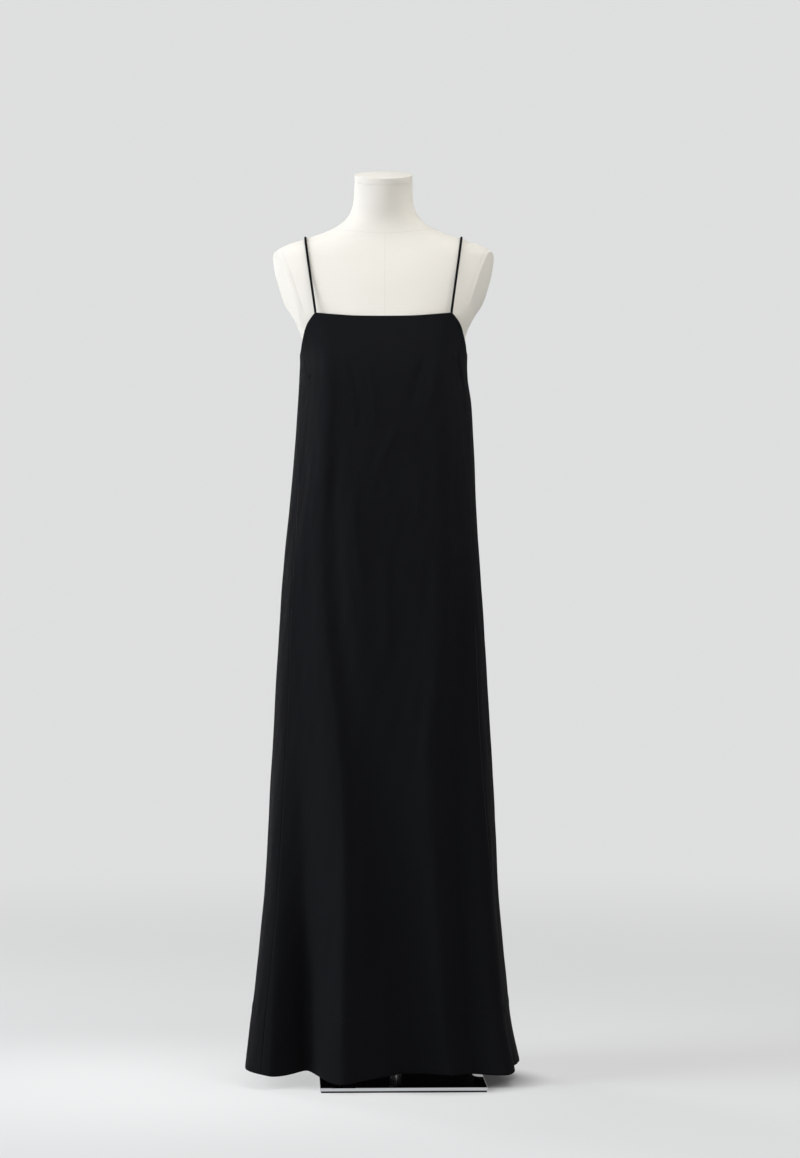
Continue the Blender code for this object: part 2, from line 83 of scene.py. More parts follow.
# --- Tables and small helpers ----------------------------------------------------------------
def hermite(t: Array, step: Array, start: Array, end: Array, slope_in: Array, slope_out: Array) -> Array:
    """Values on cubic curves.

    Args:
        t: Share of the way along each curve.
        step: Length of each curve along the key.
        start: Value at each curve's start.
        end: Value at each curve's end.
        slope_in: Slope at each start.
        slope_out: Slope at each end.

    Returns:
        The value at each share.
    """
    return (
        start * (1 + 2 * t) * (1 - t) ** 2
        + end * (3 - 2 * t) * t * t
        + slope_in * step * t * (1 - t) ** 2
        - slope_out * step * t * t * (1 - t)
    )


def smooth(keys: Array, values: Array, key: Array) -> Array:
    """Values on a smooth curve through rising keys.

    Args:
        keys: Rising keys.
        values: The value at each key.
        key: Where to read the curve.

    Returns:
        The curve's value at each place.
    """
    key = np.clip(key, keys[0], keys[-1])
    i = np.clip(np.searchsorted(keys, key, side="right") - 1, 0, len(keys) - 2)
    index = np.arange(len(keys))
    low, high = np.maximum(index - 1, 0), np.minimum(index + 1, len(keys) - 1)
    slopes = (values[high] - values[low]) / (keys[high] - keys[low])
    step = keys[i + 1] - keys[i]
    return hermite((key - keys[i]) / step, step, values[i], values[i + 1], slopes[i], slopes[i + 1])


class Table:
    """Rows of numbers under named columns, looked up by the first column."""

    def __init__(self, columns: tuple[str, ...], rows: tuple[tuple[float, ...], ...]) -> None:
        """Keeps the rows in rising order.

        Args:
            columns: A name for each column.
            rows: The rows of numbers.
        """
        numbers = np.array(sorted(rows), dtype=float)
        self.keys = numbers[:, 0]
        self.columns = {name: numbers[:, k] for k, name in enumerate(columns)}

    def at(self, key: Array | float, column: str) -> Array:
        """Values of a column on a smooth curve through the rows.

        Args:
            key: Places in the first column.
            column: The column to read.

        Returns:
            The value at each place.
        """
        return smooth(self.keys, self.columns[column], np.asarray(key, dtype=float))

    def every(self, key: Array | float) -> dict[str, Array]:
        """Values of all columns at the same places."""
        return {column: self.at(key, column) for column in self.columns}


def wrapped(turn: Array) -> Array:
    """The same turns between -180 and 180."""
    return (np.asarray(turn) + 180) % 360 - 180


def signed_power(value: Array, exponent: Array) -> Array:
    """The power of a number's size, with the number's sign."""
    return np.sign(value) * np.abs(value) ** exponent


def eased(share: Array) -> Array:
    """A soft step from 0 to 1."""
    share = np.clip(share, 0, 1)
    return share * share * (3 - 2 * share)


def unit(vectors: Array) -> Array:
    """Vectors of length one."""
    return vectors / np.maximum(np.linalg.norm(vectors, axis=-1, keepdims=True), 1e-12)


def new_object(name: str, mesh: bpy.types.Mesh, material: bpy.types.Material) -> bpy.types.Object:
    """Puts a mesh in the scene as a smooth piece with one material.

    Args:
        name: The piece's name.
        mesh: Its mesh.
        material: Its material.

    Returns:
        The piece.
    """
    mesh.name = name
    mesh.materials.clear()
    mesh.materials.append(material)
    mesh.shade_smooth()
    piece = bpy.data.objects.new(name, mesh)
    bpy.context.scene.collection.objects.link(piece)
    return piece


# --- The cut of the dress --------------------------------------------------------------------
DRESS_SECTIONS = Table(("height", "left", "right", "front", "back", "squareness"), (
    (1.340, 0.1750, 0.1760, 0.0960, 0.1020, 2.45),
    (1.325, 0.1656, 0.1678, 0.1005, 0.1015, 2.45),
    (1.309, 0.1585, 0.1598, 0.1060, 0.1010, 2.45),
    (1.291, 0.1515, 0.1532, 0.1120, 0.1000, 2.5),
    (1.266, 0.1462, 0.1472, 0.1195, 0.0990, 2.55),
    (1.226, 0.1470, 0.1475, 0.1252, 0.0980, 2.6),
    (1.182, 0.1493, 0.1538, 0.1265, 0.0980, 2.6),
    (1.104, 0.1550, 0.1582, 0.1275, 0.1000, 2.55),
    (0.972, 0.1660, 0.1641, 0.1300, 0.1110, 2.5),
    (0.841, 0.1779, 0.1728, 0.1330, 0.1290, 2.45),
    (0.666, 0.1890, 0.1818, 0.1370, 0.1460, 2.4),
    (0.491, 0.1990, 0.1921, 0.1400, 0.1610, 2.4),
    (0.316, 0.2097, 0.1999, 0.1430, 0.1750, 2.4),
    (0.185, 0.2226, 0.2113, 0.1450, 0.1850, 2.4),
    (0.097, 0.2338, 0.2199, 0.1470, 0.1910, 2.4),
    (0.015, 0.2425, 0.2364, 0.1485, 0.1960, 2.4),
))

FRONT_CORNER_TURN = 37.6
BACK_CORNER_TURN = 138.0
NECKLINE = Table(("turn", "height"), ((0.0, 1.3295), (13.0, 1.3301), (27.0, 1.3331), (37.6, 1.3357)))
ARMHOLE = Table(("turn", "height"), (
    (37.6, 1.3357),
    (45.2, 1.3255),
    (56.0, 1.3105),
    (64.0, 1.2970),
    (72.0, 1.2830),
    (80.0, 1.2705),
    (90.0, 1.2630),
    (104.0, 1.2610),
    (118.0, 1.2665),
    (130.0, 1.2780),
    (138.0, 1.2900),
))
BACK_NECKLINE = Table(("turn", "height"), ((138.0, 1.2900), (156.0, 1.2850), (180.0, 1.2830)))
HEM = Table(("turn", "height"), (
    (-180.0, 0.0280),
    (-150.0, 0.0300),
    (-110.0, 0.0290),
    (-75.0, 0.0305),
    (-60.0, 0.0295),
    (-48.0, 0.0265),
    (-41.0, 0.0235),
    (-33.5, 0.0280),
    (-24.0, 0.0245),
    (-13.0, 0.0175),
    (-4.0, 0.0220),
    (5.5, 0.0260),
    (21.0, 0.0262),
    (37.0, 0.0245),
    (55.0, 0.0225),
    (64.0, 0.0262),
    (110.0, 0.0290),
    (150.0, 0.0300),
    (180.0, 0.0280),
))
SIDE_SEAMS = Table(("height", "left", "right"), (
    (1.260, -84.0, 84.0),
    (1.100, -70.0, 71.0),
    (0.900, -61.0, 63.0),
    (0.660, -57.0, 58.5),
    (0.450, -55.0, 59.0),
    (0.250, -52.5, 66.0),
    (0.030, -49.0, 72.0),
))

@dataclass(frozen=True)
class Fold:
    """A fold line: its turn at each level, and how far it pushes the cloth out (+) or in (-) there."""

    turns: tuple[float, ...]
    pushes: tuple[float, ...]


# Fold lines in order round the dress, each from the bust down to the hem.
FOLD_LEVELS = (1.30, 1.08, 0.90, 0.50, 0.03)
FOLDS = (
    Fold((-172.0, -172.0, -172.0, -172.0, -173.0), (0.000, 0.000, -0.001, -0.008, -0.018)),
    Fold((-154.0, -154.0, -154.0, -155.0, -157.0), (0.000, 0.000, 0.001, 0.008, 0.024)),
    Fold((-136.0, -136.0, -136.0, -137.0, -140.0), (0.000, 0.000, 0.000, -0.006, -0.024)),
    Fold((-118.0, -118.0, -118.0, -118.0, -119.0), (0.000, 0.000, 0.000, 0.004, 0.018)),
    Fold((-96.0, -96.0, -96.0, -98.0, -100.0), (0.000, 0.000, 0.000, -0.002, -0.006)),
    Fold((-80.0, -80.0, -78.0, -78.0, -80.0), (0.000, 0.000, 0.001, 0.002, 0.001)),
    Fold((-58.0, -58.0, -60.0, -58.0, -45.0), (-0.002, -0.002, 0.000, 0.006, 0.028)),
    Fold((-46.0, -46.0, -47.0, -41.0, -34.0), (0.002, 0.002, -0.001, -0.008, -0.042)),
    Fold((-34.0, -33.0, -33.0, -16.5, -13.0), (0.008, 0.009, 0.005, 0.011, 0.040)),
    Fold((-22.0, -26.0, -24.0, -10.0, -5.0), (0.004, 0.004, -0.002, -0.003, 0.016)),
    Fold((-8.0, -19.0, -14.0, -3.4, 5.5), (0.000, 0.003, 0.003, -0.015, -0.033)),
    Fold((8.0, 4.0, 5.0, 6.0, 13.0), (0.000, 0.000, -0.005, -0.014, -0.033)),
    Fold((22.0, 22.0, 20.0, 14.0, 19.0), (0.004, 0.004, -0.001, -0.008, -0.023)),
    Fold((34.0, 33.0, 32.0, 23.0, 26.0), (0.008, 0.009, 0.006, 0.000, -0.008)),
    Fold((46.0, 46.0, 46.0, 38.0, 40.0), (0.002, 0.002, -0.001, -0.011, -0.021)),
    Fold((60.0, 60.0, 60.0, 56.0, 57.0), (-0.002, -0.002, 0.002, 0.009, 0.021)),
    Fold((72.0, 72.0, 74.0, 75.0, 78.0), (-0.001, -0.001, 0.000, 0.002, -0.005)),
    Fold((84.0, 86.0, 90.0, 98.0, 103.0), (0.000, 0.000, 0.000, 0.002, 0.010)),
    Fold((112.0, 112.0, 112.0, 115.0, 118.0), (0.000, 0.000, 0.000, 0.001, 0.002)),
    Fold((130.0, 130.0, 130.0, 131.0, 133.0), (0.000, 0.000, 0.000, -0.006, -0.022)),
    Fold((147.0, 147.0, 147.0, 148.0, 150.0), (0.000, 0.000, 0.001, 0.008, 0.024)),
    Fold((167.0, 167.0, 167.0, 167.0, 168.0), (0.000, 0.000, 0.000, 0.003, 0.010)),
)

# Sections of the form, from its foot to above the neck.
FORM_SECTIONS = Table(("height", "half_width", "centre", "front", "back", "squareness"), (
    (0.790, 0.1500, 0.000, 0.0880, 0.1040, 2.3),
    (0.850, 0.1570, 0.000, 0.0970, 0.1120, 2.3),
    (0.910, 0.1560, 0.000, 0.0970, 0.1100, 2.3),
    (0.990, 0.1390, 0.000, 0.0880, 0.0920, 2.2),
    (1.065, 0.1170, 0.000, 0.0810, 0.0780, 2.2),
    (1.130, 0.1240, 0.000, 0.0910, 0.0800, 2.3),
    (1.185, 0.1350, 0.000, 0.1120, 0.0870, 2.4),
    (1.230, 0.1395, 0.000, 0.1215, 0.0920, 2.35),
    (1.266, 0.1415, 0.000, 0.1155, 0.0945, 2.25),
    (1.291, 0.1420, 0.000, 0.1080, 0.0960, 2.15),
    (1.309, 0.1465, 0.000, 0.1020, 0.0970, 2.35),
    (1.334, 0.1590, 0.000, 0.0938, 0.0975, 2.65),
    (1.362, 0.1785, 0.000, 0.0855, 0.0960, 2.5),
    (1.389, 0.1930, 0.000, 0.0785, 0.0930, 2.3),
    (1.409, 0.1990, 0.000, 0.0725, 0.0890, 2.3),
    (1.427, 0.1990, 0.000, 0.0665, 0.0835, 2.3),
    (1.442, 0.1950, 0.000, 0.0615, 0.0775, 2.3),
    (1.452, 0.1840, 0.000, 0.0580, 0.0730, 2.2),
    (1.460, 0.1690, 0.000, 0.0555, 0.0700, 2.1),
    (1.468, 0.1450, 0.000, 0.0535, 0.0670, 2.0),
    (1.480, 0.1090, 0.001, 0.0530, 0.0620, 2.0),
    (1.491, 0.0840, 0.001, 0.0530, 0.0585, 2.0),
    (1.506, 0.0645, 0.000, 0.0540, 0.0555, 2.0),
    (1.524, 0.0548, -0.005, 0.0540, 0.0545, 2.0),
    (1.545, 0.0512, -0.011, 0.0540, 0.0540, 2.0),
    (1.572, 0.0505, -0.019, 0.0540, 0.0535, 2.0),
    (1.610, 0.0505, -0.030, 0.0540, 0.0535, 2.0),
))


@dataclass(frozen=True)
class Crease:
    """A soft ridge (+) or trough (-) along a path down the cloth, faded at both ends."""

    path: tuple[tuple[float, float], ...]
    width: float
    depth: float
    fade: float = 0.04


@dataclass(frozen=True)
class Dimple:
    """A small pucker (-) or bump (+) of the cloth."""

    turn: float
    height: float
    across: float
    down: float
    depth: float
    lean: float = 0.0


# A dimple is worked out only within this many times its size, and has faded to nothing there.
DIMPLE_REACH = 4
# Where the panels' top and hem edges are read to share out their columns.
UNDERARM_TURN = 84.0
HEM_LEVEL = 0.026

# Paths are (turn, height) from the top down; widths and depths are in metres.
CREASES = (
    Crease(((56.0, 1.281), (62.5, 1.240), (66.0, 1.196)), 0.0042, -0.0026, 0.030),
    Crease(((51.5, 1.283), (57.0, 1.240), (60.5, 1.192)), 0.0050, 0.0014, 0.030),
    Crease(((61.0, 1.276), (67.5, 1.238), (71.0, 1.190)), 0.0040, 0.0012, 0.030),
    Crease(((34.9, 1.276), (27.7, 1.209), (21.1, 1.140)), 0.0095, 0.0022, 0.045),
    Crease(((24.5, 1.269), (17.6, 1.217), (11.4, 1.160)), 0.0085, -0.0019, 0.040),
    Crease(((-18.6, 1.265), (-11.4, 1.196), (-8.4, 1.125)), 0.0064, -0.0016, 0.040),
    Crease(((-7.2, 1.252), (-3.0, 1.196), (-2.6, 1.125)), 0.0058, 0.0013, 0.035),
    Crease(((-37.1, 1.296), (-30.1, 1.183), (-30.9, 1.080), (-33.6, 1.000)), 0.0120, 0.0026, 0.070),
    Crease(((5.4, 1.142), (0.7, 1.097), (-2.6, 1.050)), 0.0085, 0.0018, 0.030),
    Crease(((-70.0, 1.262), (-62.0, 1.232), (-55.5, 1.226)), 0.0022, -0.0011, 0.010),
    Crease(((-25.0, 1.030), (-21.9, 0.909), (-16.4, 0.790)), 0.0090, -0.0017, 0.070),
    Crease(((-14.8, 1.050), (-11.4, 0.943), (-6.3, 0.820)), 0.0105, 0.0019, 0.070),
    Crease(((0.0, 0.930), (0.8, 0.823), (1.5, 0.715)), 0.0110, 0.0014, 0.065),
    Crease(((-15.3, 0.530), (-14.8, 0.329), (-11.9, 0.040)), 0.0100, 0.0018, 0.110),
    Crease(((23.1, 0.700), (17.9, 0.549), (15.4, 0.400)), 0.0115, 0.0016, 0.110),
    Crease(((44.0, 0.980), (45.0, 0.800), (44.0, 0.600)), 0.0100, -0.0010, 0.120),
    Crease(((-41.0, 0.900), (-37.0, 0.720), (-30.0, 0.520)), 0.0100, -0.0011, 0.120),
    Crease(((-52.0, 1.050), (-50.0, 0.900), (-48.0, 0.760)), 0.0090, 0.0010, 0.090),
    Crease(((24.9, 0.450), (26.8, 0.275), (27.0, 0.110)), 0.0125, 0.0021, 0.100),
    Crease(((48.0, 0.360), (49.0, 0.200), (50.0, 0.060)), 0.0090, -0.0012, 0.090),
    Crease(((-20.0, 0.300), (-20.5, 0.160), (-21.0, 0.050)), 0.0080, -0.0012, 0.070),
    Crease(((76.0, 1.050), (78.0, 0.820), (82.0, 0.560)), 0.0120, 0.0012, 0.150),
    Crease(((94.0, 0.960), (97.0, 0.700), (101.0, 0.400)), 0.0140, -0.0013, 0.150),
    Crease(((-76.0, 1.100), (-77.0, 0.860), (-79.0, 0.600)), 0.0120, 0.0012, 0.150),
    Crease(((-98.0, 1.080), (-101.0, 0.760), (-104.0, 0.430)), 0.0130, -0.0013, 0.150),
    Crease(((108.0, 1.180), (110.0, 1.020), (113.0, 0.820)), 0.0100, 0.0011, 0.100),
    Crease(((124.0, 1.230), (127.0, 1.060), (130.0, 0.880)), 0.0110, -0.0012, 0.110),
    Crease(((158.0, 1.240), (156.0, 1.080), (152.0, 0.860)), 0.0120, 0.0013, 0.120),
    Crease(((176.0, 1.250), (175.0, 1.060), (178.0, 0.800)), 0.0130, -0.0012, 0.140),
    Crease(((-163.0, 1.230), (-161.0, 1.040), (-157.0, 0.790)), 0.0110, 0.0012, 0.120),
    Crease(((-141.0, 1.240), (-138.0, 1.100), (-136.0, 0.930)), 0.0100, -0.0011, 0.100),
    Crease(((-121.0, 1.200), (-119.0, 0.980), (-117.0, 0.720)), 0.0120, 0.0012, 0.130),
    Crease(((139.0, 0.640), (141.0, 0.380), (142.0, 0.120)), 0.0110, 0.0014, 0.120),
    Crease(((-147.0, 0.560), (-149.0, 0.330), (-150.0, 0.090)), 0.0110, -0.0014, 0.120),
    Crease(((171.0, 0.500), (173.0, 0.300), (174.0, 0.100)), 0.0100, 0.0012, 0.100),
)
DIMPLES = (
    Dimple(-56.0, 1.2230, 0.0050, 0.0021, -0.0034, 0.45),
    Dimple(-57.0, 1.2180, 0.0060, 0.0028, 0.0016, 0.45),
    Dimple(-11.3, 1.1400, 0.0060, 0.0080, -0.0013),
    Dimple(-0.8, 1.0320, 0.0070, 0.0090, -0.0014),
    Dimple(17.0, 1.2450, 0.0110, 0.0120, 0.0008),
    Dimple(63.0, 1.1760, 0.0060, 0.0090, -0.0012),
    Dimple(-64.0, 1.1900, 0.0080, 0.0110, -0.0009),
    Dimple(118.0, 1.2350, 0.0080, 0.0100, -0.0011),
    Dimple(-124.0, 1.2400, 0.0080, 0.0090, -0.0010),
)


@dataclass(frozen=True)
class Wave:
    """A faint wave in cloth that hangs free, with its rounds about the body and its angle for a metre up."""

    size: float
    rounds: int
    per_metre: float
    start: float


SLACK_WAVES = (
    Wave(0.00050, 5, 9.0, 0.4),
    Wave(0.00035, 11, -17.0, 1.9),
    Wave(0.00025, 23, 31.0, 0.7),
    Wave(0.00018, 37, -43.0, 2.6),
)


@dataclass(frozen=True)
class HemPuckers:
    """The uneven puckers that the blind stitches of the deep hem pull into the cloth.

    `spacing` and `depths` are ranges of shares of the pitch and the depth. `ways` are the shares and signs
    of which each pucker's depth takes one.
    """

    pitch: float = 0.0155
    spacing: tuple[float, float] = (0.7, 1.4)
    wander: float = 0.003
    depth: float = 0.0015
    depths: tuple[float, float] = (0.25, 1.6)
    ways: tuple[float, ...] = (1.0, 1.0, 0.3, -0.5)
    across: float = 0.0038
    down: tuple[float, float] = (0.006, 0.013)
    lean: float = 0.9
    seed: int = 7


@dataclass(frozen=True)
class Drape:
    """The outer surface of the hanging dress: its sections, its folds and its fine creases."""

    hem_depth: float = 0.108
    hem_line_ridge: float = 0.00045
    hem_line_drop: float = 0.003
    hem_line_width: float = 0.0045
    puckers: HemPuckers = HemPuckers()
    edge_roll: float = 0.0012
    edge_roll_width: float = 0.0022
    seam_ridge: float = 0.0005
    seam_ridge_width: float = 0.0032
    seam_groove_width: float = 0.0016
    slack_top: float = 1.26
    slack_fade: float = 0.25
    slack_least: float = 0.25
    slope_turn: float = 0.5
    slope_rise: float = 0.002

    def top(self, turn: Array) -> Array:
        """Heights of the top edge: neckline, armholes and back neckline.

        Args:
            turn: Turns between -180 and 180.

        Returns:
            The height at each turn.
        """
        around = np.abs(turn)
        neck, arm, back = (edge.at(around, "height") for edge in (NECKLINE, ARMHOLE, BACK_NECKLINE))
        return np.where(around <= FRONT_CORNER_TURN, neck, np.where(around <= BACK_CORNER_TURN, arm, back))

    def folds(self, turn: Array, height: Array) -> Array:
        """How far the folds push the cloth out.

        Args:
            turn: Turns between -180 and 180.
            height: Heights.

        Returns:
            The push at each place.
        """
        levels = np.array(FOLD_LEVELS[::-1])
        turns = np.stack([smooth(levels, np.array(fold.turns[::-1]), height) for fold in FOLDS], axis=-1)
        depths = np.stack([smooth(levels, np.array(fold.pushes[::-1]), height) for fold in FOLDS], axis=-1)
        turns = np.concatenate([turns[..., -2:] - 360, turns, turns[..., :2] + 360], axis=-1)
        depths = np.concatenate([depths[..., -2:], depths, depths[..., :2]], axis=-1)
        slopes = np.zeros_like(depths)
        slopes[..., 1:-1] = (depths[..., 2:] - depths[..., :-2]) / (turns[..., 2:] - turns[..., :-2])
        i = np.clip((turns <= turn[..., None]).sum(axis=-1) - 1, 1, turns.shape[-1] - 3)[..., None]

        def pick(values: Array, index: Array) -> Array:
            """Each place's own entry."""
            return np.take_along_axis(values, index, axis=-1)[..., 0]

        step = pick(turns, i + 1) - pick(turns, i)
        t = (turn - pick(turns, i)) / step
        ends = pick(depths, i), pick(depths, i + 1), pick(slopes, i), pick(slopes, i + 1)
        return hermite(t, step, *ends)

    def base(self, turn: Array, height: Array) -> Array:
        """Points of the outer surface without fine creases.

        Args:
            turn: Turns.
            height: Heights.

        Returns:
            An array of points.
        """
        turn, height = np.broadcast_arrays(wrapped(turn), np.asarray(height, dtype=float))
        section = DRESS_SECTIONS.every(height)
        half_width = np.where(turn < 0, section["left"], section["right"])
        depth = np.where(np.abs(turn) < 90, section["front"], section["back"])
        squareness = section["squareness"]
        angle = np.radians(turn)
        across = signed_power(np.sin(angle), 2 / squareness)
        along = -signed_power(np.cos(angle), 2 / squareness)
        normal_x = signed_power(across, squareness - 1) / half_width
        normal_y = signed_power(along, squareness - 1) / depth
        size = np.hypot(normal_x, normal_y)
        push = self.folds(turn, height)
        x = half_width * across + normal_x / size * push
        y = depth * along + normal_y / size * push
        return np.stack([x, y, height], axis=-1)

    def outward(self, turn: Array, height: Array) -> Array:
        """Directions square to the outer surface.

        Args:
            turn: Turns.
            height: Heights.

        Returns:
            The outward direction at each place.
        """
        across = self.base(turn + self.slope_turn, height) - self.base(turn - self.slope_turn, height)
        down = self.base(turn, height - self.slope_rise) - self.base(turn, height + self.slope_rise)
        return unit(np.cross(down, across))

    def metres_per_degree(self, turn: Array, height: Array) -> Array:
        """How far the cloth runs round the body for one degree of turn."""
        return np.linalg.norm(self.base(turn + 0.5, height) - self.base(turn - 0.5, height), axis=-1)

    def crease_relief(self, crease: Crease, turn: Array, height: Array) -> Array:
        """How far one crease pushes the cloth out.

        Args:
            crease: The crease.
            turn: Turns between -180 and 180.
            height: Heights.

        Returns:
            The push at each place.
        """
        turns, heights = (np.array(side)[::-1] for side in zip(*crease.path))
        centre = np.interp(height, heights, turns)
        stretch = np.interp(height, heights, self.metres_per_degree(turns, heights))
        away = wrapped(turn - centre) * stretch / crease.width
        ends = eased((height - heights[0]) / crease.fade) * eased((heights[-1] - height) / crease.fade)
        return crease.depth * np.exp(-away * away) * ends

    def dimple_relief(self, dimple: Dimple, turn: Array, height: Array, stretch: float) -> Array:
        """How far one pucker pushes the cloth out.

        Args:
            dimple: The pucker.
            turn: Turns between -180 and 180.
            height: Heights.
            stretch: Metres for a degree of turn at the pucker.

        Returns:
            The push at each place.
        """
        along = wrapped(turn - dimple.turn) * stretch
        up = height - dimple.height - along * dimple.lean
        return dimple.depth * np.exp(-((along / dimple.across) ** 2) - (up / dimple.down) ** 2)

    def slack(self, turn: Array, height: Array) -> Array:
        """The slight unevenness of cloth that hangs free.

        Args:
            turn: Turns.
            height: Heights.

        Returns:
            How far it pushes the cloth out at each place.
        """
        angle = np.radians(turn)
        loose = eased((self.slack_top - height) / self.slack_fade)
        waves = sum(
            wave.size * np.sin(wave.rounds * angle + wave.per_metre * height + wave.start)
            for wave in SLACK_WAVES
        )
        return waves * (self.slack_least + (1 - self.slack_least) * loose)

    def hem_line(self, turn: Array) -> Array:
        """Heights of the hem's stitch line."""
        return HEM.at(turn, "height") + self.hem_depth

    def hem_puckers(self) -> list[Dimple]:
        """The puckers along the hem's stitch line, all round.

        Returns:
            The puckers in order.
        """
        rule = self.puckers
        pick = np.random.default_rng(rule.seed)
        turns = [-180.0]
        while turns[-1] < 180:
            stretch = float(self.metres_per_degree(np.array(turns[-1]), self.hem_line(turns[-1])))
            turns.append(turns[-1] + rule.pitch * pick.uniform(*rule.spacing) / stretch)
        puckers = []
        for turn in turns[:-1]:
            level = float(self.hem_line(turn)) + pick.uniform(-rule.wander, rule.wander)
            depth = -rule.depth * pick.uniform(*rule.depths) * pick.choice(rule.ways)
            down, lean = pick.uniform(*rule.down), pick.uniform(-rule.lean, rule.lean)
            puckers.append(Dimple(turn, level, rule.across, down, depth, lean))
        return puckers

    def relief(self, turn: Array, height: Array) -> Array:
        """How far the fine creases, puckers, seams and slack push the cloth out.

        Args:
            turn: Turns between -180 and 180.
            height: Heights.

        Returns:
            The push at each place.
        """
        push = self.slack(turn, height)
        for crease in CREASES:
            push += self.crease_relief(crease, turn, height)
        dimples = [*DIMPLES, *self.hem_puckers()]
        centres = np.array([dimple.turn for dimple in dimples])
        levels = np.array([dimple.height for dimple in dimples])
        for dimple, stretch in zip(dimples, self.metres_per_degree(centres, levels)):
            near = np.abs(height - dimple.height) < DIMPLE_REACH * (dimple.down + dimple.across)
            near &= np.abs(wrapped(turn - dimple.turn)) * stretch < DIMPLE_REACH * dimple.across
            push[near] += self.dimple_relief(dimple, turn[near], height[near], stretch)
        below = height - self.hem_line(turn) + self.hem_line_drop
        push += self.hem_line_ridge * np.exp(-((below / self.hem_line_width) ** 2))
        for hand in Hand:
            seam = SIDE_SEAMS.at(height, hand.label)
            away = wrapped(turn - seam) * self.metres_per_degree(seam, height)
            beside = hand.value * away + self.seam_ridge_width
            push += self.seam_ridge * np.exp(-((beside / self.seam_ridge_width) ** 2))
            push -= self.seam_ridge * np.exp(-((away / self.seam_groove_width) ** 2))
        return push


@dataclass(frozen=True)
class Focus:
    """A level where a panel's rows lie closer together; its place and width are shares of the way down."""

    place: float
    width: float
    extra: float


BODICE_ROWS = Focus(0.0, 0.16, 1.1)
HEM_STITCH_ROWS = Focus(0.917, 0.020, 1.3)
TOP_EDGE_ROWS = Focus(0.0, 0.004, 9.0)
HEM_EDGE_ROWS = Focus(1.0, 0.004, 7.0)


